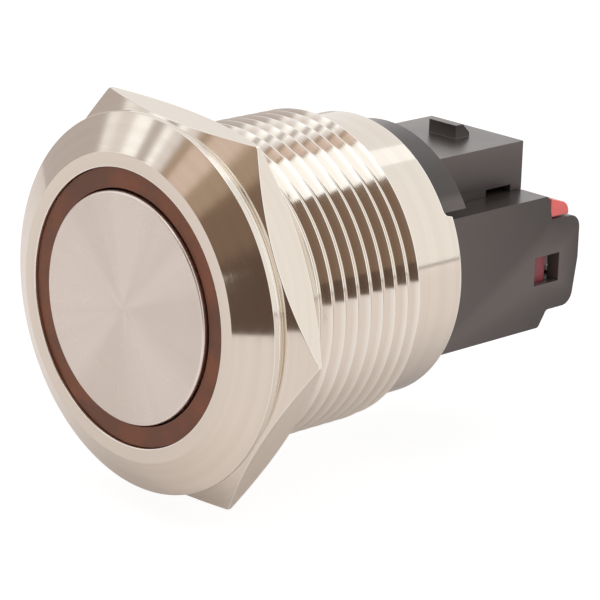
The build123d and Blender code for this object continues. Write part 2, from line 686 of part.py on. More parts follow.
# Normally open contact: rear pad on the side wall, bent inwards to the next pin
NO_PAD_Y = PAD_SPLIT_Y + CONTACT_GAP / 2
with BuildPart() as terminal_no:
    with BuildSketch(Plane.XY.offset(PIN_BOTTOM)) as no_strip:
        with BuildLine():
            Polyline(
                (STRIP_INNER_X, NO_PAD_Y),
                (STRIP_INNER_X + STRIP_T, NO_PAD_Y),
                (STRIP_INNER_X + STRIP_T, STRIP_BEND_Y),
                (NO_X + STRIP_T / 2, STRIP_BEND_Y),
                (NO_X + STRIP_T / 2, PIN_END_Y),
                (NO_X - STRIP_T / 2, PIN_END_Y),
                (NO_X - STRIP_T / 2, STRIP_BEND_Y - STRIP_T),
                (STRIP_INNER_X, STRIP_BEND_Y - STRIP_T),
                close=True,
            )
        make_face()
    extrude(no_strip.sketch, amount=PIN_H)
    with Locations([(STRIP_X, (NO_PAD_Y + STRIP_BEND_Y) / 2, (PIN_TOP + PAD_TOP) / 2)]):
        Box(STRIP_T, STRIP_BEND_Y - NO_PAD_Y, PAD_TOP - PIN_TOP)
save(terminal_no, "terminal_no")

# Lamp's lower lead: foot on the board, run below the chamber, up to its pin
terminal_led_minus = upright_plate(
    LAMP_MINUS_X,
    STRIP_T,
    [
        (SLEEVE_Y, -LEAD_BOTTOM),
        (SLEEVE_Y, -LEAD_FOOT_TOP),
        (SLEEVE_Y + STRIP_T, -LEAD_FOOT_TOP),
        (SLEEVE_Y + STRIP_T, -LEAD_TOP),
        (NC_DROP_Y + PIN_H, -LEAD_TOP),
        (NC_DROP_Y + PIN_H, PIN_BOTTOM),
        (PIN_END_Y, PIN_BOTTOM),
        (PIN_END_Y, PIN_TOP),
        (NC_DROP_Y, PIN_TOP),
        (NC_DROP_Y, -LEAD_BOTTOM),
    ],
)
save(terminal_led_minus, "terminal_led_minus")

# Lamp's upper lead: foot on the board, run above the chamber to the resistor
led_lead = upright_plate(
    LAMP_PLUS_X,
    STRIP_T,
    [
        (SLEEVE_Y, LEAD_BOTTOM),
        (LAMP_LEAD_END_Y, LEAD_BOTTOM),
        (LAMP_LEAD_END_Y, LEAD_TOP),
        (SLEEVE_Y + STRIP_T, LEAD_TOP),
        (SLEEVE_Y + STRIP_T, LEAD_FOOT_TOP),
        (SLEEVE_Y, LEAD_FOOT_TOP),
    ],
)
save(led_lead, "led_lead")

# Resistor with its two wires
WIRE_BEND_R = 2 * RESISTOR_WIRE_D
with BuildPart() as led_resistor:
    with BuildSketch(Plane(origin=(LAMP_PLUS_X, RESISTOR_Y, LEAD_Z), z_dir=(0, 1, 0))) as resistor_end:
        Circle(RESISTOR_D / 2)
    extrude(resistor_end.sketch, amount=RESISTOR_L)
    fillet(led_resistor.edges().filter_by(GeomType.CIRCLE), RESISTOR_EDGE_R)
    with BuildLine() as wire_path:
        FilletPolyline(
            (LAMP_PLUS_X, LAMP_LEAD_END_Y, LEAD_Z),
            (LAMP_PLUS_X, RESISTOR_TAIL_Y, LEAD_Z),
            (LAMP_PLUS_X, RESISTOR_TAIL_Y, PIN_TOP),
            radius=min(WIRE_BEND_R, RESISTOR_TAIL_L / 2),
        )
    with BuildSketch(Plane(origin=wire_path.line @ 0, z_dir=wire_path.line % 0)) as wire_end:
        Circle(RESISTOR_WIRE_D / 2)
    sweep(wire_end.sketch, path=wire_path.line)
save(led_resistor, "led_resistor")

# Lamp's upper pin, under the resistor's rear wire
LAMP_PIN_Y = BLOCK_POCKET_END_Y + SLOT_AIR
terminal_led_plus = upright_plate(
    LAMP_PLUS_X,
    STRIP_T,
    [
        (LAMP_PIN_Y, PIN_BOTTOM),
        (PIN_END_Y, PIN_BOTTOM),
        (PIN_END_Y, PIN_TOP),
        (LAMP_PIN_Y, PIN_TOP),
    ],
)
save(terminal_led_plus, "terminal_led_plus")

# Terminal block: five cells with their entries at the rear, a side window each side, a slot
# for the lock
BLOCK_OUTLINE = {
    (BLOCK_Y, BLOCK_TOP): 0,
    (NOTCH_Y, BLOCK_TOP): NOTCH_EDGE_R,
    (NOTCH_Y + NOTCH_SLANT, NOTCH_FLOOR): 0,
    (BLOCK_END_Y, NOTCH_FLOOR): BLOCK_REAR_R,
    (BLOCK_END_Y, BLOCK_WAIST): BLOCK_EDGE_R,
    (BLOCK_END_Y - BLOCK_REAR_SLANT, BLOCK_REAR_FLOOR): BLOCK_REAR_R,
    (BLOCK_Y + BLOCK_FLOOR_L + BLOCK_RAMP_L, BLOCK_REAR_FLOOR): BLOCK_EDGE_R,
    (BLOCK_Y + BLOCK_FLOOR_L, BLOCK_BOTTOM): BLOCK_EDGE_R,
    (BLOCK_Y, BLOCK_BOTTOM): 0,
}
with BuildPart() as terminal_block:
    # Side outline: each corner with its radius
    with BuildSketch(beside(0)) as block_side:
        with BuildLine():
            FilletPolyline(*BLOCK_OUTLINE, radius=list(BLOCK_OUTLINE.values()), close=True)
        make_face()
    extrude(block_side.sketch, amount=BLOCK_HALF_W, both=True)
    # Pocket for the base's spigot, and behind it room for the strips to change height
    cut_box(
        (-BLOCK_POCKET_HALF_W, BLOCK_Y, BLOCK_BOTTOM + BLOCK_FLOOR_T),
        (BLOCK_POCKET_HALF_W, BLOCK_POCKET_END_Y, BLOCK_POCKET_TOP),
    )
    for pin_x in PIN_XS:
        cut_box(
            (pin_x - STRIP_T / 2 - SLOT_AIR, BLOCK_POCKET_END_Y, PIN_BOTTOM - SLOT_AIR),
            (pin_x + STRIP_T / 2 + SLOT_AIR, CELL_Y, PIN_TOP + SLOT_AIR),
        )
        cut_box(
            (pin_x - CELL_W / 2, CELL_Y, PIN_Z - CELL_H / 2),
            (pin_x + CELL_W / 2, BLOCK_END_Y - CELL_WALL, PIN_Z + CELL_H / 2),
        )
        cut_box(
            (pin_x - ENTRY_W / 2, BLOCK_END_Y - CELL_WALL, PIN_Z - ENTRY_H / 2),
            (pin_x + ENTRY_W / 2, BLOCK_END_Y, PIN_Z + ENTRY_H / 2),
        )
    # Slot for the lock plate, open into the notch
    cut_box(
        (-LOCK_SLOT_HALF_W, LOCK_Y - SLOT_AIR, LOCK_BOTTOM - SLOT_AIR),
        (LOCK_SLOT_HALF_W, LOCK_END_Y + SLOT_AIR, LOCK_TOP + SLOT_AIR),
    )
    # Side windows
    for side in (-1, 1):
        window_x = sorted((side * BLOCK_HALF_W, side * (NC_X + CELL_W / 2 - SLOT_AIR)))
        cut_box(
            (window_x[0], WINDOW_END_Y - WINDOW_L, PIN_Z - WINDOW_H / 2),
            (window_x[1], WINDOW_END_Y, PIN_Z + WINDOW_H / 2),
        )
    # Hole for the resistor's rear wire
    with BuildSketch(Plane.XY.offset(BLOCK_TOP)) as wire_hole:
        with Locations((LAMP_PLUS_X, RESISTOR_TAIL_Y)):
            Circle(RESISTOR_WIRE_D / 2 + SLOT_AIR)
    extrude(wire_hole.sketch, amount=PIN_Z - BLOCK_TOP, mode=Mode.SUBTRACT)
save(terminal_block, "terminal_block")

# Terminal lock: a plate across the cells with a tab in the block's notch
with BuildPart() as terminal_lock:
    with BuildSketch(across(LOCK_Y)) as lock_plate:
        with Locations((0, (LOCK_TOP + LOCK_BOTTOM) / 2)):
            Rectangle(2 * LOCK_HALF_W, LOCK_TOP - LOCK_BOTTOM)
        with Locations([(pin_x, PIN_Z) for pin_x in PIN_XS]):
            Rectangle(ENTRY_W, ENTRY_H, mode=Mode.SUBTRACT)
    extrude(lock_plate.sketch, amount=-LOCK_T)
    TAB_END_Y = NOTCH_Y + NOTCH_SLANT + LOCK_TAB_L
    with BuildSketch(beside(0)) as neck_side:
        with BuildLine():
            Polyline(
                (LOCK_END_Y, LOCK_TAB_BOTTOM),
                (TAB_END_Y - LOCK_TAB_R, LOCK_TAB_BOTTOM),
                (TAB_END_Y - LOCK_TAB_R, LOCK_TOP),
                (LOCK_END_Y, LOCK_TOP),
                close=True,
            )
        make_face()
    extrude(neck_side.sketch, amount=LOCK_HALF_W, both=True)
    with BuildSketch(beside(0)) as tab_side:
        with BuildLine():
            FilletPolyline(
                (NOTCH_Y + NOTCH_SLANT + SLOT_AIR, LOCK_TAB_BOTTOM),
                (TAB_END_Y, LOCK_TAB_BOTTOM),
                (TAB_END_Y, LOCK_TAB_REAR_TOP),
                (NOTCH_Y + NOTCH_SLANT + SLOT_AIR, LOCK_TAB_TOP),
                radius=[0, 0, LOCK_TAB_R, 0],
                close=True,
            )
        make_face()
    extrude(tab_side.sketch, amount=BLOCK_HALF_W - LOCK_TAB_INSET, both=True)
save(terminal_lock, "terminal_lock")

# Panel seal in the groove of the bezel's underside
panel_seal = turned(
    [
        (THREAD_R + SLIP, SEAL_Y),
        (THREAD_R + SLIP, SEAT - SEAL_GROOVE_DEPTH),
        (THREAD_R + SEAL_W, SEAT - SEAL_GROOVE_DEPTH),
        (THREAD_R + SEAL_W, SEAL_Y),
    ]
)
save(panel_seal, "panel_seal")

# Washer
washer = turned(
    [
        (THREAD_R + SLIP, SEAL_Y),
        (WASHER_R, SEAL_Y),
        (WASHER_R, NUT_Y),
        (THREAD_R + SLIP, NUT_Y),
    ]
)
save(washer, "washer")

# Hexagon nut, chamfered on both faces
NUT_CORNER_R = NUT_FLAT_R / cos(pi / 6)
NUT_CONE_DEPTH = min((NUT_CORNER_R - NUT_CONE_R) * tan(radians(NUT_CONE_ANGLE)), (NUT_T - NUT_LAND) / 2)
with BuildPart() as hex_nut:
    with BuildSketch(across(NUT_Y)) as hexagon:
        RegularPolygon(NUT_CORNER_R, 6, rotation=NUT_TURN)
    extrude(hexagon.sketch, amount=-NUT_T)
    with BuildSketch(Plane.XY) as nut_profile:
        with BuildLine():
            Polyline(
                (THREAD_R + SLIP + NUT_LEAD_IN, NUT_Y),
                (NUT_CONE_R, NUT_Y),
                (NUT_CORNER_R, NUT_Y + NUT_CONE_DEPTH),
                (NUT_CORNER_R, NUT_END_Y - NUT_CONE_DEPTH),
                (NUT_CONE_R, NUT_END_Y),
                (THREAD_R + SLIP + NUT_LEAD_IN, NUT_END_Y),
                (THREAD_R + SLIP, NUT_END_Y - NUT_LEAD_IN),
                (THREAD_R + SLIP, NUT_Y + NUT_LEAD_IN),
                close=True,
            )
        make_face()
    revolve(nut_profile.sketch, axis=Axis.Y, mode=Mode.INTERSECT)
save(hex_nut, "hex_nut")
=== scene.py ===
"""Looks of an illuminated metal push button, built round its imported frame.

The button faces -Y, its body runs back along +Y and +Z is up. Sizes in the classes are in
millimetres; the meshes are in metres, in the frame's own place.
"""

import logging
import math
from collections.abc import Callable
from dataclasses import dataclass
from enum import Enum
from typing import NamedTuple

import bmesh
import bpy
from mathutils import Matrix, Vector


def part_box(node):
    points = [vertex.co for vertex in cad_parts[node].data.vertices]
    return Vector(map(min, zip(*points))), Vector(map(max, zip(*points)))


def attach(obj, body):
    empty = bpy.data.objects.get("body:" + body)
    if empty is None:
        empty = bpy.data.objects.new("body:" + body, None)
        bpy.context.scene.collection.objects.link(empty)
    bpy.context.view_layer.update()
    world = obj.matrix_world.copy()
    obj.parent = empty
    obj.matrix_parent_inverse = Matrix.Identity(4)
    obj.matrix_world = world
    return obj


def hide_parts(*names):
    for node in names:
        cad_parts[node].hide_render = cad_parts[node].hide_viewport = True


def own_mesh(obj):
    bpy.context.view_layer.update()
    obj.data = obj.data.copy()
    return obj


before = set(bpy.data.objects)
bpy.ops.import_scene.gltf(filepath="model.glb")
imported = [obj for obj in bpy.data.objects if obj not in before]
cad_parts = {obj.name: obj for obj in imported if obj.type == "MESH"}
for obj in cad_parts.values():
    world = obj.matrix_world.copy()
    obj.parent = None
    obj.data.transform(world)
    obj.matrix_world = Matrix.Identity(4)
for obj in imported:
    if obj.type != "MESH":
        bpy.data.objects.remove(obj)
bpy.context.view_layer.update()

MM = 0.001
MICROMETRE = 1e-6
FULL_TURN = 2 * math.pi

WEAR = "wear"
BARREL = "barrel"
WEAR_TURN = math.radians(12.0)
SHARP_TURN = math.radians(32.0)
MERGE_REACH = 0.0005 * MM
SLIVER_REACH = 0.0002 * MM
WELD_REACH = 0.002 * MM
FLAT_TURN = math.radians(0.5)
BEVEL_TURN = math.radians(40)
BEVEL_STEPS = 4
ROUND_STEPS = 192

NOISE_MIDDLE = (0.35, 0.65)
SMUDGE_LIMITS = (0.35, 0.70)
MOTTLE_SPREAD = 0.08
PLASTIC_EDGE_SHARE = 0.6
PURE_WHITE = (1.0, 1.0, 1.0)

Point = tuple[float, float]
Triple = tuple[float, float, float]
Box = tuple[Vector, Vector]
Socket = bpy.types.NodeSocket
Feed = Socket | float | str | tuple
Feeds = dict[str | int, Feed]
Sizes = dict[str, float | int]

log = logging.getLogger("push_button")


class Body(Enum):
    """The bodies that pieces ride on."""

    FIXED = "body"
    BUTTON = "button"
    WASHER = "washer"
    NUT = "nut"


class Slot(Enum):
    """The record's material slots, as named for the pieces of this script."""

    NICKEL = "nickel"
    CAP = "cap_metal"
    RING = "ring_plastic"
    RUBBER = "rubber"
    LED = "led_resin"
    SPRING = "spring_steel"
    BLACK = "black_plastic"
    RED = "red_plastic"


class Wiring:
    """Adds nodes to one node tree and links them."""

    def __init__(self, tree: bpy.types.NodeTree) -> None:
        """Take the tree to wire."""
        self.tree = tree

    def feed(self, socket: Socket, value: Feed) -> None:
        """Link a socket into another, or set its constant."""
        if isinstance(value, bpy.types.NodeSocket):
            self.tree.links.new(value, socket)
        else:
            socket.default_value = value

    def fill(self, node: bpy.types.Node, feeds: Feeds) -> None:
        """Feed some of a node's inputs, each by its name or place."""
        for key, value in feeds.items():
            self.feed(node.inputs[key], value)

    def node(self, kind: str, feeds: Feeds | None = None, **settings: object) -> bpy.types.Node:
        """Add a node.

        Args:
            kind: Blender's name of the node type.
            feeds: what goes into its inputs, by name or place.
            **settings: attributes to set on it first.

        Returns:
            The new node.
        """
        made = self.tree.nodes.new(kind)
        for name, value in settings.items():
            setattr(made, name, value)
        self.fill(made, feeds or {})
        return made

    def out(self, kind: str, feeds: Feeds | None = None, **settings: object) -> Socket:
        """Add a node and return its first output."""
        return self.node(kind, feeds, **settings).outputs[0]

    def math(self, operation: str, *values: Socket | float) -> Socket:
        """Add a Math node and return its result."""
        return self.out("ShaderNodeMath", dict(enumerate(values)), operation=operation)

    def distance(self, x: Socket, z: Socket) -> Socket:
        """The distance from the axis."""
        return self.math("SQRT", self.math("ADD", self.math("MULTIPLY", x, x), self.math("MULTIPLY", z, z)))

    def split(self, vector: Socket) -> tuple[Socket, ...]:
        """A vector's three parts."""
        return tuple(self.node("ShaderNodeSeparateXYZ", {0: vector}).outputs)

    def join(self, *parts: Socket | float) -> Socket:
        """A vector from its three parts."""
        return self.out("ShaderNodeCombineXYZ", dict(enumerate(parts)))

    def noise(self, vector: Socket, scale: Socket | float, detail: float) -> Socket:
        """Noise over a place."""
        return self.out("ShaderNodeTexNoise", {"Vector": vector, "Scale": scale, "Detail": detail})

    def remap(self, value: Socket, *limits: Socket | float, **settings: str) -> Socket:
        """Map a range of values to another, clamped.

        Args:
            value: the value to map.
            *limits: where the range starts and ends, then the results there, 0 and 1 by default.
            **settings: attributes of the node.

        Returns:
            The mapped value.
        """
        return self.out("ShaderNodeMapRange", dict(enumerate((value, *limits))), **settings)

    def blend(self, share: Socket | float, a: Socket | Triple, b: Socket | Triple) -> Socket:
        """Mix two colours; the share says how much of the second shows."""
        feeds: Feeds = {0: share}
        for key, colour in ((6, a), (7, b)):
            feeds[key] = colour if isinstance(colour, bpy.types.NodeSocket) else (*colour, 1.0)
        return self.node("ShaderNodeMix", feeds, data_type="RGBA").outputs[2]

    def group(self, tree: bpy.types.NodeTree, feeds: Feeds | None = None) -> bpy.types.bpy_prop_collection:
        """Place a shared group with its own values, and return its outputs."""
        return self.node("ShaderNodeGroup", feeds, node_tree=tree).outputs


def new_tree(
    kind: str, name: str, inputs: dict[str, str | float | int], outputs: dict[str, str]
) -> tuple[Wiring, bpy.types.bpy_prop_collection, bpy.types.Node]:
    """Start a node group.

    Args:
        kind: Shader or Geometry.
        name: the group's name.
        inputs: each input's name, and its default or the name of its sort.
        outputs: each output's name and sort.

    Returns:
        The group's wiring, its input values by name, and its output node.
    """
    tree = bpy.data.node_groups.new(name, f"{kind}NodeTree")
    for title, entry in inputs.items():
        number = {int: "Int", float: "Float"}.get(type(entry))
        socket = tree.interface.new_socket(title, in_out="INPUT", socket_type=f"NodeSocket{number or entry}")
        if number:
            socket.default_value = entry
    for title, sort in outputs.items():
        tree.interface.new_socket(title, in_out="OUTPUT", socket_type=f"NodeSocket{sort}")
    wiring = Wiring(tree)
    return wiring, wiring.node("NodeGroupInput").outputs, wiring.node("NodeGroupOutput")


def millimetres(wiring: Wiring) -> Socket:
    """Object coordinates in millimetres."""
    place = wiring.node("ShaderNodeTexCoord").outputs["Object"]
    return wiring.out("ShaderNodeVectorMath", {0: place, "Scale": 1 / MM}, operation="SCALE")


def turning_and_sheen_group() -> bpy.types.NodeTree:
    """Marks of turning, fine rings round the axis and broader bands of them, and soft sectors of painted sheen."""
    marks = dict.fromkeys(("Rings", "Bands", "Painted sheen"), "Float")
    wiring, inputs, output = new_tree("Shader", "turning marks and painted sheen", {"Ring width": 0.06, "Band width": 0.7}, marks)
    centre_r, sector_scale, sector_limits = 0.2, 1.7, (0.38, 0.62)
    x, y, z = wiring.split(millimetres(wiring))
    radius = wiring.distance(x, z)
    path = wiring.math("ADD", radius, y)
    for title, width, detail in (("Rings", "Ring width", 2.0), ("Bands", "Band width", 1.0)):
        feeds = {"W": wiring.math("DIVIDE", path, inputs[width]), "Scale": 1.0, "Detail": detail}
        wiring.feed(output.inputs[title], wiring.out("ShaderNodeTexNoise", feeds, noise_dimensions="1D"))
    # Painted sheen: soft sectors by direction round the axis, standing in for the bow-tie highlights of a turned
    # face.
    blunted = wiring.math("ADD", radius, centre_r)
    outward = wiring.join(wiring.math("DIVIDE", x, blunted), 0.0, wiring.math("DIVIDE", z, blunted))
    sectors = wiring.noise(outward, sector_scale, 2.0)
    wiring.feed(output.inputs["Painted sheen"], wiring.remap(sectors, *sector_limits))
    return wiring.tree


def handling_group() -> bpy.types.NodeTree:
    """Traces of handling: soft smudges over a surface, and wear along its edges."""
    traces = {"Smudges": "Float", "Edges": "Float"}
    wiring, inputs, output = new_tree("Shader", "handling", {"Smudge size": 4.0}, traces)
    smudges = wiring.noise(millimetres(wiring), wiring.math("DIVIDE", 1.0, inputs["Smudge size"]), 3.0)
    worn = wiring.node("ShaderNodeAttribute", attribute_name=WEAR).outputs["Fac"]
    wiring.fill(output, {"Smudges": wiring.remap(smudges, *SMUDGE_LIMITS), "Edges": worn})
    return wiring.tree


def grain_group() -> bpy.types.NodeTree:
    """Skin of moulded plastic or rubber: fine pits and a slow mottle."""
    sizes = {"Grain size": 0.12, "Mottle size": 2.5}
    wiring, inputs, output = new_tree("Shader", "moulded skin", sizes, {"Grain": "Float", "Mottle": "Float"})
    place = millimetres(wiring)
    for title, detail in (("Grain", 2.0), ("Mottle", 4.0)):
        scale = wiring.math("DIVIDE", 1.0, inputs[f"{title} size"])
        wiring.feed(output.inputs[title], wiring.noise(place, scale, detail))
    return wiring.tree


TURNING_AND_SHEEN = turning_and_sheen_group()
HANDLING = handling_group()
SKIN = grain_group()


def bare_material(name: str) -> tuple[bpy.types.Material, Wiring]:
    """Start a node material that has no nodes yet."""
    material = bpy.data.materials.new(name)
    material.use_nodes = True
    material.node_tree.nodes.clear()
    return material, Wiring(material.node_tree)


def shaded(name: str) -> tuple[bpy.types.Material, Wiring, bpy.types.Node]:
    """Start a material with one Principled shader, and return its wiring and the shader too."""
    material, wiring = bare_material(name)
    shader = wiring.node("ShaderNodeBsdfPrincipled")
    wiring.node("ShaderNodeOutputMaterial", {"Surface": shader.outputs[0]})
    return material, wiring, shader


def bumped(wiring: Wiring, height: Socket, depth_um: float) -> Socket:
    """The normal of a surface with a height, at its depth in micrometres."""
    return wiring.out("ShaderNodeBump", {"Strength": 1.0, "Distance": depth_um * MICROMETRE, "Height": height})


@dataclass(frozen=True)
class MetalFinish:
    """A turned or stamped metal, with rings and bands from turning, smudges, worn edges and, where asked, sectors of
    painted sheen.
    """

    name: str
    colour: Triple
    band_colour: Triple
    edge_colour: Triple
    roughness: float
    spread: float
    ring_width: float
    ring_depth_um: float
    band_width: float = 0.7
    band_share: float = 0.5
    sheen_sector_share: float = 0.0

    def material(self) -> bpy.types.Material:
        """Build the metal's material."""
        material, wiring, shader = shaded(self.name)
        marks = wiring.group(TURNING_AND_SHEEN, {"Ring width": self.ring_width, "Band width": self.band_width})
        traces = wiring.group(HANDLING)
        bands = wiring.math("MULTIPLY", wiring.remap(marks["Bands"], *NOISE_MIDDLE), self.band_share)
        # Painted sheen: the sectors darken the colour in soft wedges, as a turned face's highlights would.
        darker = wiring.math("MULTIPLY_ADD", marks["Painted sheen"], self.sheen_sector_share, bands)
        body = wiring.blend(darker, self.colour, self.band_colour)
        rough = wiring.math("MULTIPLY_ADD", traces["Smudges"], self.spread, self.roughness)
        feeds = {
            "Base Color": wiring.blend(traces["Edges"], body, self.edge_colour),
            "Metallic": 1.0,
            "Roughness": wiring.math("MULTIPLY_ADD", bands, self.spread, rough),
            "Normal": bumped(wiring, marks["Rings"], self.ring_depth_um),
        }
        wiring.fill(shader, feeds)
        return material


@dataclass(frozen=True)
class MouldedFinish:
    """A moulded plastic, resin or rubber; a darker colour may take over towards its bottom, as painted shade."""

    name: str
    colour: Triple
    mottle_colour: Triple
    edge_colour: Triple
    roughness: float
    grain_size: float = 0.12
    grain_depth_um: float = 3.0
    subsurface: float = 0.0
    specular: float = 0.5
    coat: float = 0.0
    painted_shade_colour: Triple | None = None
    painted_shade_heights: Point = (0.0, 1.0)

    def material(self) -> bpy.types.Material:
        """Build the moulded material."""
        material, wiring, shader = shaded(self.name)
        skin = wiring.group(SKIN, {"Grain size": self.grain_size})
        traces = wiring.group(HANDLING)
        mottle = wiring.remap(skin["Mottle"], *NOISE_MIDDLE)
        body = wiring.blend(mottle, self.colour, self.mottle_colour)
        edges = wiring.math("MULTIPLY", traces["Edges"], PLASTIC_EDGE_SHARE)
        colour = wiring.blend(edges, body, self.edge_colour)
        # Painted shade: the colour darkens towards the bottom of the piece, between the two given heights.
        if self.painted_shade_colour:
            height = wiring.split(millimetres(wiring))[2]
            colour = wiring.blend(wiring.remap(height, *self.painted_shade_heights, 1.0, 0.0), colour, self.painted_shade_colour)
        feeds = {
            "Base Color": colour,
            "Roughness": wiring.math("MULTIPLY_ADD", mottle, MOTTLE_SPREAD, self.roughness),
            "Specular IOR Level": self.specular,
            "Subsurface Weight": self.subsurface,
            "Subsurface Radius": (1.0, 0.3, 0.2),
            "Subsurface Scale": 0.4 * MM,
            "Coat Weight": self.coat,
            "Coat Roughness": self.roughness,
            "Normal": bumped(wiring, skin["Grain"], self.grain_depth_um),
        }
        wiring.fill(shader, feeds)
        return material


@dataclass(frozen=True)
class BandedFinish:
    """A lacquered resistor with painted rings along its axis."""

    name: str
    coat: Triple
    mottle_coat: Triple
    bands: tuple[Triple, ...]
    start: float
    pitch: float
    width: float
    roughness: float
    grain_size: float
    grain_depth_um: float

    def material(self) -> bpy.types.Material:
        """Build the lacquer with its rings."""
        material, wiring, shader = shaded(self.name)
        station = wiring.split(millimetres(wiring))[1]
        skin = wiring.group(SKIN, {"Grain size": self.grain_size})
        colour = wiring.blend(skin["Mottle"], self.coat, self.mottle_coat)
        for index, paint in enumerate(self.bands):
            away = wiring.math("ABSOLUTE", wiring.math("SUBTRACT", station, self.start + index * self.pitch))
            colour = wiring.blend(wiring.math("LESS_THAN", away, self.width / 2), colour, paint)
        normal = bumped(wiring, skin["Grain"], self.grain_depth_um)
        wiring.fill(shader, {"Base Color": colour, "Roughness": self.roughness, "Normal": normal})
        return material


Finish = MetalFinish | MouldedFinish | BandedFinish

NICKEL = MetalFinish(
    "bright nickel", (0.79, 0.73, 0.655), (0.74, 0.68, 0.60), (0.92, 0.89, 0.84),
    roughness=0.07, spread=0.03, ring_width=0.05, ring_depth_um=0.5,
)
# The cap's face gets sectors of painted sheen.
FACE_METAL = MetalFinish(
    "brushed cap", (0.77, 0.71, 0.66), (0.69, 0.63, 0.575), (0.86, 0.80, 0.76),
    roughness=0.26, spread=0.04, ring_width=0.08, ring_depth_um=0.02,
    band_width=3.0, band_share=0.1, sheen_sector_share=0.8,
)
STEEL = MetalFinish(
    "spring steel", (0.55, 0.54, 0.53), (0.50, 0.49, 0.48), (0.7, 0.7, 0.7),
    roughness=0.28, spread=0.05, ring_width=0.2, ring_depth_um=0.3,
)
BRASS = MetalFinish(
    "contact brass", (0.80, 0.60, 0.30), (0.74, 0.54, 0.26), (0.9, 0.75, 0.45),
    roughness=0.22, spread=0.05, ring_width=0.2, ring_depth_um=0.4,
)
SILVER = MetalFinish(
    "silver tip", (0.88, 0.87, 0.84), (0.82, 0.81, 0.78), (0.95, 0.95, 0.93),
    roughness=0.20, spread=0.05, ring_width=0.2, ring_depth_um=0.3,
)
BLACK = MouldedFinish(
    "black plastic", (0.025, 0.0175, 0.0155), (0.033, 0.024, 0.022), (0.13, 0.105, 0.10),
    roughness=0.31, specular=0.12, coat=1.0,
)
WHITE = MouldedFinish("white plastic", (0.78, 0.78, 0.75), (0.74, 0.74, 0.71), (0.85, 0.85, 0.83), roughness=0.45)
RUBBER = MouldedFinish("black rubber", (0.03, 0.027, 0.025), (0.04, 0.037, 0.035), (0.06, 0.055, 0.05), roughness=0.7)
RING = MouldedFinish(
    "light ring", (0.215, 0.055, 0.012), (0.125, 0.040, 0.016), (0.22, 0.08, 0.05),
    roughness=0.28, grain_size=0.3, grain_depth_um=1.0, subsurface=0.1,
)
# The red lock's lower part, down in the block, is darkened by a painted shade colour.
RED = MouldedFinish(
    "red plastic", (0.80, 0.15, 0.14), (0.74, 0.13, 0.12), (0.90, 0.28, 0.25),
    roughness=0.28, grain_size=0.3, grain_depth_um=1.5, subsurface=0.25,
    painted_shade_colour=(0.26, 0.045, 0.060), painted_shade_heights=(0.2, 1.6),
)
BOARD = MouldedFinish(
    "lamp board", (0.02, 0.16, 0.07), (0.03, 0.20, 0.09), (0.25, 0.30, 0.15),
    roughness=0.35, grain_size=0.4, grain_depth_um=2.0,
)
RESIN = MouldedFinish(
    "led resin", (0.85, 0.62, 0.35), (0.80, 0.56, 0.30), (0.9, 0.75, 0.5),
    roughness=0.2, grain_size=0.4, grain_depth_um=1.0, subsurface=0.4,
)
RESISTOR = BandedFinish(
    "resistor lacquer", (0.42, 0.56, 0.60), (0.336, 0.448, 0.48),
    bands=((0.45, 0.10, 0.03), (0.02, 0.02, 0.02), (0.55, 0.05, 0.03), (0.55, 0.38, 0.08)),
    start=22.2, pitch=0.65, width=0.26, roughness=0.3, grain_size=0.3, grain_depth_um=4.0,
)


def reach(box: Box) -> Triple:
    """A box's front station, rear station and outer radius, in millimetres."""
    low, high = box
    return low.y / MM, high.y / MM, high.x / MM


def rounded(
    points: list[Point], radii: dict[int, float], closed: bool, steps: int = 4, hold: float = 0.03
) -> list[Point]:
    """Round the corners of an outline, with a holding point beside each arc for clean shading.

    Args:
        points: the outline's corners.
        radii: each rounded corner's index and radius.
        closed: whether the last corner joins the first.
        steps: segments in each arc.
        hold: how far the holding points stand from an arc's ends.

    Returns:
        The outline's points, arcs included.
    """
    most_of_side, hold_of_side = 0.45, 0.05
    made: list[Point] = []
    count = len(points)
    for index, point in enumerate(points):
        radius = radii.get(index, 0.0)
        if radius <= 0 or (not closed and index in (0, count - 1)):
            made.append(point)
            continue
        corner = Vector(point)
        before = Vector(points[index - 1]) - corner
        after = Vector(points[(index + 1) % count]) - corner
        half = before.angle(after) / 2
        cut = min(radius / math.tan(half), most_of_side * before.length, most_of_side * after.length)
        start, end = corner + before.normalized() * cut, corner + after.normalized() * cut
        centre = corner + (before.normalized() + after.normalized()).normalized() * (cut / math.cos(half))
        made.append(tuple(start + before.normalized() * min(hold, hold_of_side * before.length)))
        first, last = start - centre, end - centre
        turn = first.angle_signed(last)
        for step in range(steps + 1):
            angle = -turn * step / steps
            cosine, sine = math.cos(angle), math.sin(angle)
            made.append((centre.x + first.x * cosine - first.y * sine, centre.y + first.x * sine + first.y * cosine))
        made.append(tuple(end + after.normalized() * min(hold, hold_of_side * after.length)))
    return made


def even_angles(count: int) -> list[float]:
    """Angles of a full turn, evenly spaced."""
    return [FULL_TURN * index / count for index in range(count)]


def add_object(name: str, data: bpy.types.ID) -> bpy.types.Object:
    """Put a mesh, light or camera in the scene."""
    made = bpy.data.objects.new(name, data)
    bpy.context.scene.collection.objects.link(made)
    return made


def close_bmesh(bm: bmesh.types.BMesh, name: str) -> bpy.types.Mesh:
    """Turn a finished bmesh into a mesh."""
    mesh = bpy.data.meshes.new(name)
    bm.to_mesh(mesh)
    bm.free()
    return mesh


def mark_wear(bm: bmesh.types.BMesh) -> None:
    """Mark the vertices on rounded outer edges, where handling wears a piece. Faces point outward."""
    layer = bm.verts.layers.float.get(WEAR) or bm.verts.layers.float.new(WEAR)
    for vert in bm.verts:
        vert[layer] = float(any(edge.calc_face_angle_signed(0.0) > WEAR_TURN for edge in vert.link_edges))


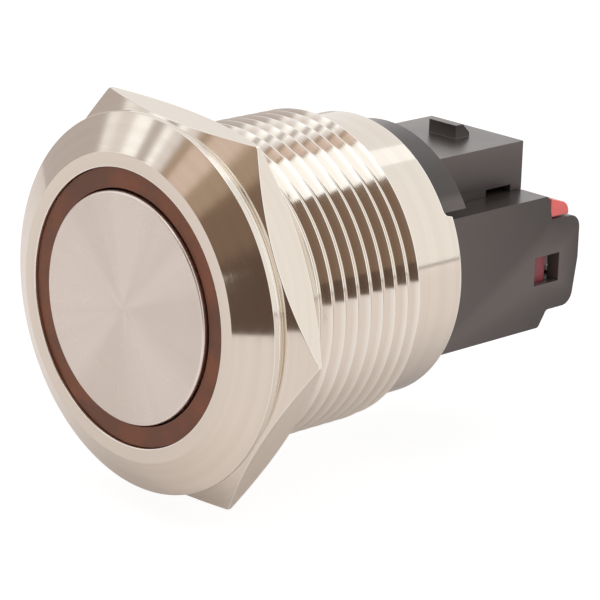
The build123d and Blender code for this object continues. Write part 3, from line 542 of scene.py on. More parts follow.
def finish_mesh(bm: bmesh.types.BMesh, name: str) -> bpy.types.Object:
    """Close, orient and shade a mesh in metres, and put it in the scene as a piece."""
    bmesh.ops.remove_doubles(bm, verts=bm.verts, dist=MERGE_REACH)
    bmesh.ops.dissolve_degenerate(bm, edges=bm.edges, dist=SLIVER_REACH)
    bmesh.ops.recalc_face_normals(bm, faces=bm.faces)
    for edge in bm.edges:
        edge.smooth = edge.calc_face_angle(math.pi) < SHARP_TURN
    for face in bm.faces:
        face.smooth = True
    mark_wear(bm)
    return add_object(name, close_bmesh(bm, name))


def bridge(bm: bmesh.types.BMesh, low: list[bmesh.types.BMVert], high: list[bmesh.types.BMVert]) -> None:
    """Join two closed rows of vertices by faces."""
    for index in range(len(low)):
        following = (index + 1) % len(low)
        bm.faces.new((low[index], low[following], high[following], high[index]))


def ring_grid(
    bm: bmesh.types.BMesh, outline: list[Point], angles: list[float], closed: bool
) -> list[list[bmesh.types.BMVert]]:
    """Turn an outline about the axis into a grid of faces.

    Args:
        bm: the mesh to add to.
        outline: (radius, station) points in millimetres.
        angles: where round the axis each copy of the outline stands.
        closed: whether the outline's last point joins its first.

    Returns:
        The rings of vertices, one for each outline point.
    """
    rings = [
        [bm.verts.new((r * math.cos(a) * MM, y * MM, r * math.sin(a) * MM)) for a in angles]
        for r, y in outline
    ]
    for low, high in list(zip(rings, rings[1:])) + ([(rings[-1], rings[0])] if closed else []):
        bridge(bm, low, high)
    return rings


def turned_piece(name: str, outline: list[Point], closed: bool = True) -> bpy.types.Object:
    """Make a turned piece from its outline, open where the outline starts and ends on the axis."""
    bm = bmesh.new()
    ring_grid(bm, outline, even_angles(ROUND_STEPS), closed)
    return finish_mesh(bm, name)


def band_piece(name: str, inner: float, box: Box, radii: dict[int, float]) -> bpy.types.Object:
    """Make a flat ring that fills a box down to an inner radius."""
    front, rear, outer = reach(box)
    corners = [(inner, front), (outer, front), (outer, rear), (inner, rear)]
    return turned_piece(name, rounded(corners, radii, closed=True, steps=3))


def apply_modifiers(piece: bpy.types.Object) -> None:
    """Turn a piece and its modifiers into a plain mesh."""
    graph = bpy.context.evaluated_depsgraph_get()
    solved = piece.evaluated_get(graph)
    mesh = bpy.data.meshes.new_from_object(solved, preserve_all_data_layers=True, depsgraph=graph)
    piece.modifiers.clear()
    piece.data = mesh
    mesh.name = piece.name


def softened_copy(node: str, name: str, radius: float) -> bpy.types.Object:
    """Copy a CAD node's form and break its sharp edges.

    Args:
        node: the CAD node.
        name: the piece's name.
        radius: the edges' radius in millimetres.

    Returns:
        The piece.
    """
    bm = bmesh.new()
    bm.from_mesh(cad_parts[node].data)
    bmesh.ops.remove_doubles(bm, verts=bm.verts, dist=WELD_REACH)
    bmesh.ops.dissolve_limit(bm, angle_limit=FLAT_TURN, verts=bm.verts, edges=bm.edges)
    piece = finish_mesh(bm, name)
    bevel = piece.modifiers.new("broken edges", "BEVEL")
    bevel.width = radius * MM
    bevel.segments = BEVEL_STEPS
    bevel.limit_method = "ANGLE"
    bevel.angle_limit = BEVEL_TURN
    bevel.harden_normals = True
    apply_modifiers(piece)
    worn = bmesh.new()
    worn.from_mesh(piece.data)
    mark_wear(worn)
    worn.to_mesh(piece.data)
    worn.free()
    return piece


def material_of(finish: Finish) -> bpy.types.Material:
    """A finish's material, built once."""
    return bpy.data.materials.get(finish.name) or finish.material()


def seat(piece: bpy.types.Object, body: Body, slot: Slot, *nodes: str, finish: Finish | None = None) -> None:
    """Make a piece ride on its body and stand for its CAD nodes.

    Args:
        piece: the piece.
        body: what it moves with.
        slot: its material slot in the record; not used.
        *nodes: the CAD nodes that it replaces.
        finish: what it looks like all over, where it has no material yet.
    """
    if finish:
        piece.data.materials.clear()
        piece.data.materials.append(material_of(finish))
    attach(piece, body.value)
    if nodes:
        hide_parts(*nodes)
    log.info("%s: %d faces, on %s", piece.name, len(piece.data.polygons), body.value)


def keep_nodes(finish: Finish, *nodes: str) -> None:
    """Give CAD nodes whose form is right their finish."""
    material = material_of(finish)
    for node in nodes:
        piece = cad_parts[node]
        if not piece.material_slots:
            piece.data.materials.append(material)
        for entry in piece.material_slots:
            entry.material = material
        log.info("%s: kept with %s", node, finish.name)


def input_key(tree: bpy.types.NodeTree, title: str) -> str:
    """The identifier of a geometry tree's input."""
    return next(s.identifier for s in tree.interface.items_tree if s.name == title and s.in_out == "INPUT")


def geometry_tree(name: str, sizes: Sizes) -> tuple[Wiring, bpy.types.bpy_prop_collection, bpy.types.Node]:
    """Start a geometry tree that takes a geometry, named sizes and a material."""
    inputs = {"Geometry": "Geometry", **sizes, "Material": "Material"}
    return new_tree("Geometry", name, inputs, {"Geometry": "Geometry"})


def close_tree(wiring: Wiring, material: Socket, output: bpy.types.Node, geometry: Socket) -> None:
    """End a geometry tree in Realize Instances and Set Material."""
    realized = wiring.out("GeometryNodeRealizeInstances", {0: geometry})
    painted = wiring.out("GeometryNodeSetMaterial", {"Geometry": realized, "Material": material})
    wiring.feed(output.inputs[0], painted)


def run_tree(
    piece: bpy.types.Object, build: Callable[[Sizes], bpy.types.NodeTree], sizes: Sizes, finish: Finish
) -> None:
    """Run a geometry tree on a piece and keep its result as a plain mesh.

    Args:
        piece: the piece that the tree reads and replaces.
        build: what makes the tree.
        sizes: its sizes by name.
        finish: what the result looks like.
    """
    tree = build(sizes)
    modifier = piece.modifiers.new(tree.name, "NODES")
    modifier.node_group = tree
    for title, value in {**sizes, "Material": material_of(finish)}.items():
        modifier[input_key(tree, title)] = value
    apply_modifiers(piece)


def thread_tree(sizes: Sizes) -> bpy.types.NodeTree:
    """Cut a right-hand thread about Y into the vertices marked barrel.

    The crests are flat, the flanks open by their slope and the root is rounded. The cut fades in
    at the start, and a chamfer takes the last crests down to the collar.
    """
    turns_to_positive, least_flank = 100.0, 1e-4
    wiring, take, output = geometry_tree("cut thread", sizes)
    calc = wiring.math
    position = wiring.out("GeometryNodeInputPosition")
    x, y, z = (calc("DIVIDE", value, MM) for value in wiring.split(position))
    turn = calc("DIVIDE", calc("ARCTAN2", z, x), FULL_TURN)
    lead = calc("ADD", calc("DIVIDE", calc("ADD", y, take["Offset"]), take["Pitch"]), turn)
    phase = calc("FRACT", calc("ADD", lead, turns_to_positive))
    from_crest = calc("MINIMUM", phase, calc("SUBTRACT", 1.0, phase))
    along = calc("SUBTRACT", calc("MULTIPLY", from_crest, take["Pitch"]), calc("DIVIDE", take["Crest"], 2.0))
    flank = calc("MAXIMUM", calc("DIVIDE", along, take["Flank slope"]), 0.0)
    cut = calc("SMOOTH_MIN", flank, take["Depth"], take["Root"])
    cut = calc("MULTIPLY", cut, calc("GREATER_THAN", flank, least_flank))
    full_depth = calc("ADD", take["Start"], take["Run in"])
    run = wiring.remap(y, take["Start"], full_depth, 0.0, 1.0, interpolation_type="SMOOTHSTEP")
    threaded = calc("SUBTRACT", take["Radius"], calc("MULTIPLY", cut, run))
    chamfer = calc("SUBTRACT", take["Radius"], calc("SUBTRACT", y, take["Chamfer start"]))
    scale = calc("DIVIDE", calc("MINIMUM", threaded, chamfer), wiring.distance(x, z))
    across = wiring.join(scale, 1.0, scale)
    moved = wiring.out("ShaderNodeVectorMath", {0: position, 1: across}, operation="MULTIPLY")
    marked = wiring.node("GeometryNodeInputNamedAttribute", {"Name": BARREL}, data_type="BOOLEAN")
    feeds = {"Geometry": take["Geometry"], "Selection": marked.outputs["Attribute"], "Position": moved}
    close_tree(wiring, take["Material"], output, wiring.out("GeometryNodeSetPosition", feeds))
    return wiring.tree


def spring_tree(sizes: Sizes) -> bpy.types.NodeTree:
    """A round wire wound about Y, its ends cut square and capped."""
    steps_a_turn, sides = 48, 16
    wiring, take, output = geometry_tree("wind spring", sizes)
    start, height, coil, thickness = (
        wiring.math("MULTIPLY", take[title], MM) for title in ("Start", "Height", "Coil radius", "Wire radius")
    )
    winding = {"Resolution": steps_a_turn, "Rotations": take["Turns"], "Height": height}
    spiral = wiring.out("GeometryNodeCurveSpiral", {**winding, "Start Radius": coil, "End Radius": coil})
    profile = wiring.out("GeometryNodeCurvePrimitiveCircle", {"Resolution": sides, "Radius": thickness})
    feeds = {"Curve": spiral, "Profile Curve": profile, "Fill Caps": True}
    wire = wiring.out("GeometryNodeCurveToMesh", feeds)
    feeds = {"Geometry": wire, "Rotation": (-math.pi / 2, 0.0, 0.0), "Translation": wiring.join(0.0, start, 0.0)}
    laid = wiring.out("GeometryNodeTransform", feeds)
    close_tree(wiring, take["Material"], output, wiring.out("GeometryNodeSetShadeSmooth", {0: laid}))
    return wiring.tree


def led_ring_tree(sizes: Sizes) -> bpy.types.NodeTree:
    """Copies of one LED standing in a circle about Y."""
    wiring, take, output = geometry_tree("ring of leds", sizes)
    calc = wiring.math
    circle = {"Vertices": take["Count"], "Radius": calc("MULTIPLY", take["Circle radius"], MM)}
    index = wiring.out("GeometryNodeInputIndex")
    angle = calc("MULTIPLY", calc("DIVIDE", index, take["Count"]), FULL_TURN)
    feeds = {
        "Points": wiring.out("GeometryNodeMeshCircle", circle),
        "Instance": take["Geometry"],
        "Rotation": wiring.join(0.0, 0.0, angle),
    }
    copies = wiring.out("GeometryNodeInstanceOnPoints", feeds)
    half_step = calc("DIVIDE", math.pi, take["Count"])
    feeds = {
        "Geometry": copies,
        "Rotation": wiring.join(math.pi / 2, calc("MULTIPLY", half_step, -1.0), 0.0),
        "Translation": wiring.join(0.0, calc("MULTIPLY", take["Station"], MM), 0.0),
    }
    close_tree(wiring, take["Material"], output, wiring.out("GeometryNodeTransform", feeds))
    return wiring.tree


@dataclass
class Shell:
    """The metal shell, one turned piece: bezel, threaded barrel and plain collar, and its seal."""

    thread_r: float = 9.5
    pitch: float = 1.0
    crest: float = 0.07
    depth: float = 0.42
    flank_degrees: float = 45.0
    root: float = 0.06
    thread_start: float = 0.30
    run_in: float = 1.0
    thread_offset: float = 0.34
    chamfer_start: float = 12.70
    thread_end: float = 12.93
    collar_r: float = 8.777
    face_r: float = 9.05
    ring_seat_r: float = 8.19
    ring_seat_y: float = 0.50
    guide_bore_r: float = 7.5
    rear_bore_r: float = 8.0
    shoulder_y: float = 6.5
    land: float = 0.375
    seal_groove_r: float = 10.35
    seal_groove_y: float = -0.60
    seal_play: float = 0.05
    relief: float = 0.57
    relief_z: float = 4.0
    relief_radius: float = 0.45
    relief_steps: int = 8
    rim_reach: float = 0.2
    segments: int = 216
    phases: tuple[float, ...] = (0.035, 0.25, 0.37, 0.40, 0.43, 0.465, 0.5, 0.535, 0.57, 0.60, 0.63, 0.75, 0.965)

    def __post_init__(self) -> None:
        """Read the bezel's and the collar's ends from the frame."""
        self.front_y, self.rear_y, self.bezel_r = reach(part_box("shell"))

    def angles(self) -> list[float]:
        """Angles round the axis, closer together at the relief's two corners."""
        made = set(round(a, 6) for a in even_angles(self.segments))
        low = math.asin(self.relief_z / self.collar_r)
        high = math.asin((self.relief_z + self.relief_radius) / self.rear_bore_r)
        for index in range(self.relief_steps + 1):
            near = low + (high - low) * index / self.relief_steps
            made.update((round(near, 6), round(math.pi - near, 6)))
        return sorted(made)

    def drop(self, z: float) -> float:
        """How much shorter the rear rim is at a height."""
        if z <= self.relief_z:
            return 0.0
        rise = self.relief_z + self.relief_radius - z
        if rise <= 0:
            return self.relief
        return self.relief - self.relief_radius + math.sqrt(self.relief_radius**2 - rise**2)

    def outline(self) -> list[Point]:
        """The shell's outline from the thread's rear end round to its front end."""
        corners = [
            (self.thread_r, self.thread_end), (self.collar_r, self.thread_end), (self.collar_r, self.rear_y),
            (self.rear_bore_r, self.rear_y), (self.rear_bore_r, self.shoulder_y),
            (self.guide_bore_r, self.shoulder_y), (self.guide_bore_r, self.ring_seat_y),
            (self.ring_seat_r, self.ring_seat_y), (self.ring_seat_r, self.front_y),
            (self.face_r, self.front_y), (self.bezel_r, -self.land), (self.bezel_r, 0.0),
            (self.seal_groove_r, 0.0), (self.seal_groove_r, self.seal_groove_y),
            (self.thread_r, self.seal_groove_y), (self.thread_r, self.thread_start),
        ]
        radii = {1: 0.04, 2: 0.12, 3: 0.06, 6: 0.05, 8: 0.05, 9: 0.06, 10: 0.06, 11: 0.10}
        return rounded(corners, radii, closed=False, steps=3, hold=0.02)

    def barrel(self, bm: bmesh.types.BMesh, angles: list[float]) -> None:
        """Add the barrel as a grid whose rows follow the thread, and mark its vertices.

        Args:
            bm: the shell's mesh.
            angles: the same angles as the rest of the shell.
        """
        mark = bm.verts.layers.bool.get(BARREL)
        per_turn = len(self.phases)
        turns = math.ceil((self.thread_end - self.thread_start) / self.pitch) + 3
        first_turn = math.floor(self.thread_start / self.pitch) - 1
        rows = []
        for turn in range(turns):
            for phase in self.phases:
                lead = (first_turn + turn + phase) * self.pitch - self.thread_offset
                row = []
                for angle in angles:
                    y = min(max(lead - self.pitch * angle / FULL_TURN, self.thread_start), self.thread_end)
                    place = (self.thread_r * math.cos(angle) * MM, y * MM, self.thread_r * math.sin(angle) * MM)
                    vert = bm.verts.new(place)
                    vert[mark] = True
                    row.append(vert)
                rows.append(row)
        last = len(angles) - 1
        for index, (low, high) in enumerate(zip(rows, rows[1:])):
            for column in range(last):
                bm.faces.new((low[column], low[column + 1], high[column + 1], high[column]))
            if index >= per_turn:
                low_wrap, high_wrap = rows[index - per_turn], rows[index + 1 - per_turn]
                bm.faces.new((low[last], low_wrap[0], high_wrap[0], high[last]))

    def build(self) -> bpy.types.Object:
        """Make the shell with its thread cut."""
        bm = bmesh.new()
        mark = bm.verts.layers.bool.new(BARREL)
        angles = self.angles()
        rings = ring_grid(bm, self.outline(), angles, closed=False)
        for vert in rings[0]:
            vert[mark] = True
        for ring in rings:
            for vert in ring:
                if vert.co.y / MM > self.rear_y - self.rim_reach:
                    vert.co.y -= self.drop(vert.co.z / MM) * MM
        self.barrel(bm, angles)
        bmesh.ops.remove_doubles(bm, verts=bm.verts, dist=MERGE_REACH)
        blank = add_object("shell_metal", close_bmesh(bm, "shell blank"))
        sizes = {
            "Radius": self.thread_r,
            "Pitch": self.pitch,
            "Crest": self.crest,
            "Depth": self.depth,
            "Flank slope": math.tan(math.radians(self.flank_degrees)),
            "Root": self.root,
            "Offset": self.thread_offset,
            "Start": self.thread_start,
            "Run in": self.run_in,
            "Chamfer start": self.chamfer_start,
        }
        run_tree(blank, thread_tree, sizes, NICKEL)
        cut = bmesh.new()
        cut.from_mesh(blank.data)
        bpy.data.objects.remove(blank)
        return finish_mesh(cut, "shell_metal")

    def place(self) -> None:
        """Build the shell and its seal, and seat them."""
        seat(self.build(), Body.FIXED, Slot.NICKEL, "shell", finish=NICKEL)
        inner = self.thread_r + self.seal_play
        seal = band_piece("seal_rubber", inner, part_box("panel_seal"), {2: 0.06, 3: 0.06})
        seat(seal, Body.FIXED, Slot.RUBBER, "panel_seal", finish=RUBBER)


@dataclass
class Fastening:
    """The nut and its washer on the barrel."""

    bore_r: float = 9.55
    flat_r: float = 11.0
    cone_r: float = 10.6
    cone_degrees: float = 30.0
    lead_in: float = 0.35
    edge_radius: float = 0.05
    turn_degrees: float = -4.3
    corner_radius: float = 0.18
    corner_steps: int = 4
    per_flat: int = 32
    least_flat: float = 1.0

    def hexagon(self) -> list[Point]:
        """Points round the nut: each flat in steps, each corner as a small arc."""
        corner_r = self.flat_r / math.cos(math.pi / 6)
        turns = [math.radians(self.turn_degrees + 60 * index) for index in range(6)]
        corners = [(corner_r * math.cos(a), corner_r * math.sin(a)) for a in turns]
        arcs = rounded(corners, dict.fromkeys(range(6), self.corner_radius), True, self.corner_steps)
        made: list[Point] = []
        for (x, z), (next_x, next_z) in zip(arcs, arcs[1:] + arcs[:1]):
            made.append((x, z))
            if math.dist((x, z), (next_x, next_z)) > self.least_flat:
                shares = (step / self.per_flat for step in range(1, self.per_flat))
                made.extend((x + (next_x - x) * share, z + (next_z - z) * share) for share in shares)
        return made

    def nut(self) -> bpy.types.Object:
        """Make the nut: a hexagon turned to a cone on both faces."""
        front, rear, _ = reach(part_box("hex_nut"))
        slope = math.tan(math.radians(self.cone_degrees))
        columns: list[list[Triple]] = []
        for x, z in self.hexagon():
            outer = math.hypot(x, z)
            drop = (outer - self.cone_r) * slope
            section = [
                (self.bore_r, front + self.lead_in), (self.bore_r + self.lead_in, front),
                (self.cone_r, front), (outer, front + drop), (outer, rear - drop), (self.cone_r, rear),
                (self.bore_r + self.lead_in, rear), (self.bore_r, rear - self.lead_in),
            ]
            radii = dict.fromkeys(range(len(section)), self.edge_radius)
            outline = rounded(section, radii, closed=True, steps=2, hold=0.02)
            columns.append([(x / outer * r, y, z / outer * r) for r, y in outline])
        bm = bmesh.new()
        grid = [[bm.verts.new(Vector(point) * MM) for point in column] for column in columns]
        for left, right in zip(grid, grid[1:] + grid[:1]):
            for index in range(len(left)):
                following = (index + 1) % len(left)
                bm.faces.new((left[index], right[index], right[following], left[following]))
        return finish_mesh(bm, "nut_metal")

    def place(self) -> None:
        """Build the nut and the washer, and seat them."""
        seat(self.nut(), Body.NUT, Slot.NICKEL, "hex_nut", finish=NICKEL)
        washer = band_piece("washer_metal", self.bore_r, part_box("washer"), {1: 0.08, 2: 0.08})
        seat(washer, Body.WASHER, Slot.NICKEL, "washer", finish=NICKEL)


@dataclass
class PushCap:
    """The button's cap and the light ring round it."""

    face_t: float = 1.20
    groove_y: float = 0.30
    groove_w: float = 0.80
    groove_r: float = 6.35
    wall: float = 1.15
    boss_r: float = 2.2
    boss_l: float = 1.40
    socket_r: float = 1.22
    socket_l: float = 1.20
    edge_radius: float = 0.15
    ring_bore_r: float = 6.95
    ring_skirt_r: float = 7.40
    ring_step_y: float = 0.50

    def cap(self) -> bpy.types.Object:
        """Make the cap: flat face, rounded rim, skirt with a seal groove and a boss inside."""
        front, rear, radius = reach(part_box("button_cap"))
        back = front + self.face_t
        boss_end = back + self.boss_l
        corners = [
            (0.0, front), (radius, front), (radius, self.groove_y), (self.groove_r, self.groove_y),
            (self.groove_r, self.groove_y + self.groove_w), (radius, self.groove_y + self.groove_w),
            (radius, rear), (radius - self.wall, rear), (radius - self.wall, back), (self.boss_r, back),
            (self.boss_r, boss_end), (self.socket_r, boss_end), (self.socket_r, boss_end - self.socket_l),
            (0.0, boss_end - self.socket_l),
        ]
        radii = {1: self.edge_radius, 2: 0.04, 5: 0.04, 6: 0.12, 7: 0.12, 8: 0.2, 10: 0.1}
        return turned_piece("cap_metal", rounded(corners, radii, closed=False, steps=5), closed=False)

    def light_ring(self) -> bpy.types.Object:
        """Make the light ring: a flat window, and a skirt that reaches back to the LEDs."""
        front, rear, radius = reach(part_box("light_ring"))
        corners = [
            (self.ring_bore_r, front), (radius, front), (radius, self.ring_step_y),
            (self.ring_skirt_r, self.ring_step_y), (self.ring_skirt_r, rear), (self.ring_bore_r, rear),
        ]
        radii = {0: 0.05, 1: 0.05, 2: 0.05, 3: 0.1}
        return turned_piece("ring_light", rounded(corners, radii, closed=True, steps=3))

    def place(self) -> None:
        """Build the cap and the ring, and seat them."""
        seat(self.cap(), Body.BUTTON, Slot.CAP, "button_cap", finish=FACE_METAL)
        seat(self.light_ring(), Body.FIXED, Slot.RING, "light_ring", finish=RING)
        keep_nodes(RUBBER, "button_seal")


@dataclass
class Mechanism:
    """What works inside: plunger, spring, clip and contacts."""

    coil_r: float = 3.9
    wire_r: float = 0.225
    turns: float = 4.5
    travel: float = 2.2

    def spring(self) -> bpy.types.Object:
        """Wind the return spring."""
        front, rear, _ = reach(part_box("return_spring"))
        piece = add_object("spring_wire", bpy.data.meshes.new("spring blank"))
        sizes = {
            "Start": front + self.wire_r,
            "Height": rear - front - 2 * self.wire_r,
            "Coil radius": self.coil_r,
            "Wire radius": self.wire_r,
            "Turns": self.turns,
        }
        run_tree(piece, spring_tree, sizes, STEEL)
        return piece

    def place(self) -> None:
        """Build the spring and dress the nodes that keep their form."""
        spring = self.spring()
        seat(spring, Body.FIXED, Slot.SPRING, "return_spring")
        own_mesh(spring)
        keep_nodes(WHITE, "plunger", "guide_sleeve")
        keep_nodes(STEEL, "retaining_clip", "push_washer")
        keep_nodes(BRASS, "contact_bridge", "terminal_com", "terminal_nc", "terminal_no")
        keep_nodes(SILVER, "bridge_tips")


@dataclass
class Lamp:
    """The lamp: a board with a ring of LEDs, its leads and its resistor."""

    count: int = 6
    circle_r: float = 6.95
    width: float = 1.0
    depth: float = 0.7
    levels: tuple[Point, ...] = ((1.0, 0.0), (1.0, 0.6), (0.92, 0.68), (0.70, 0.70), (0.62, 0.90), (0.40, 1.0))

    def led(self) -> bpy.types.Object:
        """Make one LED: a chip with broken edges and a shallow lens, facing up Z."""
        front, rear, _ = reach(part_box("leds"))
        height = rear - front
        bm = bmesh.new()
        rings = []
        for scale, share in self.levels:
            x, y = self.depth / 2 * scale, self.width / 2 * scale
            ring = [(-x, -y), (x, -y), (x, y), (-x, y)]
            rings.append([bm.verts.new(Vector((a, b, height * share)) * MM) for a, b in ring])
        for lower, upper in zip(rings, rings[1:]):
            bridge(bm, lower, upper)
        bm.faces.new(rings[-1])
        bm.faces.new(rings[0][::-1])
        return finish_mesh(bm, "led_chips")

    def place(self) -> None:
        """Build the LEDs and dress the lamp's other pieces."""
        leds = self.led()
        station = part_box("leds")[1].y / MM
        sizes = {"Count": self.count, "Circle radius": self.circle_r, "Station": station}
        run_tree(leds, led_ring_tree, sizes, RESIN)
        seat(leds, Body.FIXED, Slot.LED, "leds")
        keep_nodes(BOARD, "led_board")
        keep_nodes(BRASS, "led_lead", "terminal_led_plus", "terminal_led_minus")
        keep_nodes(RESISTOR, "led_resistor")


@dataclass
class Housing:
    """The moulded rear: switch base, terminal block and the red lock."""

    edge: float = 0.16
    lock_edge: float = 0.08

    def place(self) -> None:
        """Build the three mouldings and seat them."""
        for node, name, edge, slot, finish in (
            ("switch_base", "base_moulding", self.edge, Slot.BLACK, BLACK),
            ("terminal_block", "block_moulding", self.edge, Slot.BLACK, BLACK),
            ("terminal_lock", "lock_moulding", self.lock_edge, Slot.RED, RED),
        ):
            seat(softened_copy(node, name, edge), Body.FIXED, slot, node, finish=finish)


class Tone(Enum):
    """How the studio's walls and cards show in the metal."""

    BRIGHT = (1.0, 1.0, 1.0)
    WHITE = (0.82, 0.80, 0.78)
    ROSE = (0.78, 0.76, 0.75)
    PALE = (0.70, 0.66, 0.65)
    GREY = (0.46, 0.41, 0.39)
    WARM = (0.62, 0.50, 0.43)
    OLIVE = (0.36, 0.27, 0.20)
    BROWN = (0.185, 0.125, 0.088)
    DARK = (0.10, 0.066, 0.050)


class Wall(NamedTuple):
    """One stretch of the studio's walls, from its azimuth in degrees to the next."""

    azimuth: float
    tone: Tone


class Softbox(NamedTuple):
    """A square area light, with its place, target and side in millimetres and its power in watts."""

    name: str
    place: Triple
    target: Triple
    side: float
    watts: float


class Card(NamedTuple):
    """A card that only reflections see, with its corners in millimetres."""

    name: str
    corners: tuple[Triple, ...]
    tone: Tone
    level: float


FLOOR_Z = -12.75
WALL_LEVEL = 1.25
STRIP_LEVEL = 1.28


def standing(start: Point, end: Point, top: float) -> tuple[Triple, ...]:
    """Corners of a card that stands on the floor from one place to another, up to a height."""
    return (*start, FLOOR_Z), (*end, FLOOR_Z), (*end, top), (*start, top)


def ray_kinds(wiring: Wiring) -> tuple[Socket, Socket]:
    """Whether a ray looks straight at what it meets, and whether it is a reflection."""
    path = wiring.node("ShaderNodeLightPath").outputs
    return wiring.math("MAXIMUM", path["Is Camera Ray"], path["Is Transmission Ray"]), path["Is Glossy Ray"]


@dataclass
class Studio:
    """Floor, walls and cards for the metal to reflect, lights and camera."""

    floor_size: float = 4000.0
    floor_colour: Triple = (0.92, 0.86, 0.83)
    floor_in_metal: Triple = (0.98, 0.86, 0.82)
    floor_level: float = 1.14
    floor_glow: float = 0.80
    floor_glow_in_metal: float = 0.05
    soft_level: float = 0.55
    walls: tuple[Wall, ...] = (
        Wall(0, Tone.WHITE), Wall(100, Tone.ROSE), Wall(174, Tone.GREY), Wall(201, Tone.WHITE),
        Wall(206, Tone.PALE), Wall(213, Tone.BRIGHT), Wall(221, Tone.GREY), Wall(227, Tone.BRIGHT),
        Wall(231, Tone.PALE), Wall(237, Tone.OLIVE), Wall(242, Tone.WARM), Wall(254, Tone.OLIVE),
        Wall(264, Tone.BROWN), Wall(278, Tone.DARK), Wall(292, Tone.BROWN), Wall(326, Tone.WHITE),
    )
    wall_blur: float = 1.5
    overhead_colour: Triple = (0.8, 0.8, 0.8)
    overhead_heights: Point = (0.62, 0.80)
    behind: Point = (-0.1, 0.1)
    softboxes: tuple[Softbox, ...] = (
        Softbox("key light", (-60, -70, 330), (0, 5, 0), 380, 0.45),
        Softbox("fill light", (240, 160, 220), (0, 10, 0), 370, 0.40),
    )
    cards: tuple[Card, ...] = (
        Card("front card", standing((-25, -57), (17, -57), 10), Tone.PALE, WALL_LEVEL),
        Card("right card", standing((17, -57), (90, -57), 6), Tone.DARK, WALL_LEVEL),
        Card("left card", standing((-225, -130), (-225, 120), 0), Tone.GREY, WALL_LEVEL),
        Card(
            "strip over the button",
            ((-10, -135, 120), (56, -135, 120), (10, 135, 120), (-24, 135, 120)),
            Tone.BRIGHT,
            STRIP_LEVEL,
        ),
    )
    azimuth: float = 46.107
    elevation: float = 17.419
    roll: float = 1.762
    distance: float = 182.25
    aim_y: float = 12.88
    shift_right: float = -0.571
    shift_up: float = -2.193
    lens: float = 181.68

    def wall_colour(self, wiring: Wiring) -> Socket:
        """The colour of the studio's walls in the direction of a ray, and pale overhead at the rear."""
        x, y, z = wiring.split(wiring.node("ShaderNodeTexCoord").outputs["Generated"])
        turn = wiring.math("DIVIDE", wiring.math("ARCTAN2", y, x), FULL_TURN)
        ramp = wiring.node("ShaderNodeValToRGB", {0: wiring.math("FRACT", wiring.math("ADD", turn, 1.0))})
        stops = ramp.color_ramp.elements
        stops[0].color = (*self.walls[0].tone.value, 1.0)
        stops[1].position, stops[1].color = 1.0, (*self.walls[-1].tone.value, 1.0)
        for before, wall in zip(self.walls, self.walls[1:]):
            for azimuth, tone in ((wall.azimuth - self.wall_blur, before.tone), (wall.azimuth, wall.tone)):
                stops.new(azimuth / 360).color = (*tone.value, 1.0)
        behind = wiring.remap(y, *self.behind)
        overhead = wiring.math("MULTIPLY", wiring.remap(z, *self.overhead_heights), behind)
        return wiring.blend(overhead, ramp.outputs["Color"], self.overhead_colour)

    def world(self) -> None:
        """White for the camera, walls in reflections, plain soft light for the rest."""
        world = bpy.data.worlds.new("studio")
        bpy.context.scene.world = world
        world.use_nodes = True
        world.node_tree.nodes.clear()
        wiring = Wiring(world.node_tree)
        seen, glossy = ray_kinds(wiring)
        level = wiring.remap(seen, 0.0, 1.0, self.soft_level, 1.0)
        feeds = {
            "Color": wiring.blend(glossy, PURE_WHITE, self.wall_colour(wiring)),
            "Strength": wiring.remap(glossy, 0.0, 1.0, level, WALL_LEVEL),
        }
        wiring.node("ShaderNodeOutputWorld", {0: wiring.out("ShaderNodeBackground", feeds)})

    def floor(self) -> None:
        """A plain pale floor that keeps the shadow and is near white for the camera and in the metal."""
        bm = bmesh.new()
        bmesh.ops.create_grid(bm, x_segments=1, y_segments=1, size=self.floor_size / 2 * MM)
        bmesh.ops.translate(bm, verts=bm.verts, vec=(0, 0, FLOOR_Z * MM))
        floor = add_object("floor", close_bmesh(bm, "floor"))
        material, wiring = bare_material("floor")
        seen, glossy = ray_kinds(wiring)
        share = wiring.math("MULTIPLY", seen, self.floor_glow)
        share = wiring.math("MULTIPLY_ADD", glossy, self.floor_glow_in_metal, share)
        matte = wiring.out("ShaderNodeBsdfDiffuse", {"Color": (*self.floor_colour, 1.0)})
        colour = wiring.blend(glossy, PURE_WHITE, self.floor_in_metal)
        glow = wiring.out("ShaderNodeEmission", {"Color": colour, "Strength": self.floor_level})
        mixed = wiring.out("ShaderNodeMixShader", {0: share, 1: matte, 2: glow})
        wiring.node("ShaderNodeOutputMaterial", {"Surface": mixed})
        floor.data.materials.append(material)

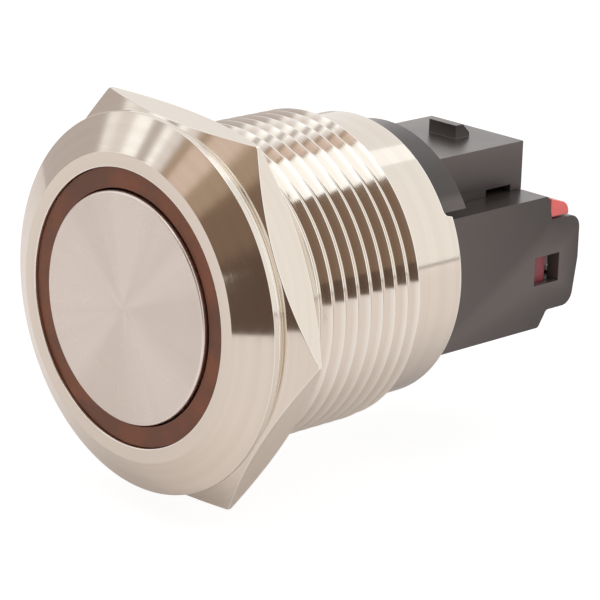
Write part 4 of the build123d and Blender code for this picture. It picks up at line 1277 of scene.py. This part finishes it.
    def hang(self, softbox: Softbox) -> None:
        """Hang an area light that lights matt surfaces; the metal reflects the walls instead."""
        data = bpy.data.lights.new(softbox.name, "AREA")
        data.shape = "RECTANGLE"
        data.size = data.size_y = softbox.side * MM
        data.energy = softbox.watts
        light = add_object(softbox.name, data)
        place = Vector(softbox.place)
        light.location = place * MM
        light.rotation_euler = (Vector(softbox.target) - place).to_track_quat("-Z", "Y").to_euler()
        light.visible_glossy = False

    def stand(self, card: Card) -> None:
        """Stand a card that only reflections see."""
        mesh = bpy.data.meshes.new(card.name)
        mesh.from_pydata([tuple(Vector(corner) * MM) for corner in card.corners], [], [(0, 1, 2, 3)])
        piece = add_object(card.name, mesh)
        material, wiring = bare_material(card.name)
        glow = wiring.out("ShaderNodeEmission", {"Color": (*card.tone.value, 1.0), "Strength": card.level})
        wiring.node("ShaderNodeOutputMaterial", {"Surface": glow})
        mesh.materials.append(material)
        piece.visible_camera = False
        piece.visible_diffuse = False
        piece.visible_shadow = False
        piece.visible_transmission = False

    def camera(self) -> None:
        """Set the camera, level with its horizon but for a small roll."""
        a, e, r = (math.radians(v) for v in (self.azimuth, self.elevation, self.roll))
        back = Vector((math.sin(a) * math.cos(e), -math.cos(a) * math.cos(e), math.sin(e)))
        level = Vector((math.cos(a), math.sin(a), 0.0))
        upright = back.cross(level)
        right = level * math.cos(r) + upright * math.sin(r)
        up = upright * math.cos(r) - level * math.sin(r)
        data = bpy.data.cameras.new("camera")
        data.lens = self.lens
        data.sensor_width = 36.0
        data.clip_start = 1 * MM
        camera = add_object("camera", data)
        aim = Vector((0.0, self.aim_y, 0.0))
        place = aim + back * self.distance + right * self.shift_right + up * self.shift_up
        matrix = camera.matrix_world
        for column, entry in enumerate((right, up, back, place * MM)):
            matrix.col[column][:3] = entry
        camera.matrix_world = matrix
        bpy.context.scene.camera = camera

    def place(self) -> None:
        """Set up the whole studio."""
        self.world()
        self.floor()
        for softbox in self.softboxes:
            self.hang(softbox)
        for card in self.cards:
            self.stand(card)
        self.camera()
        bpy.context.scene.view_settings.view_transform = "Standard"


def main() -> None:
    """Build every sub-assembly and set the studio."""
    logging.basicConfig(level=logging.INFO, format="%(name)s: %(message)s")
    for part in (Shell(), Fastening(), PushCap(), Mechanism(), Lamp(), Housing()):
        part.place()
    Studio().place()


if __name__ == "__main__":
    main()
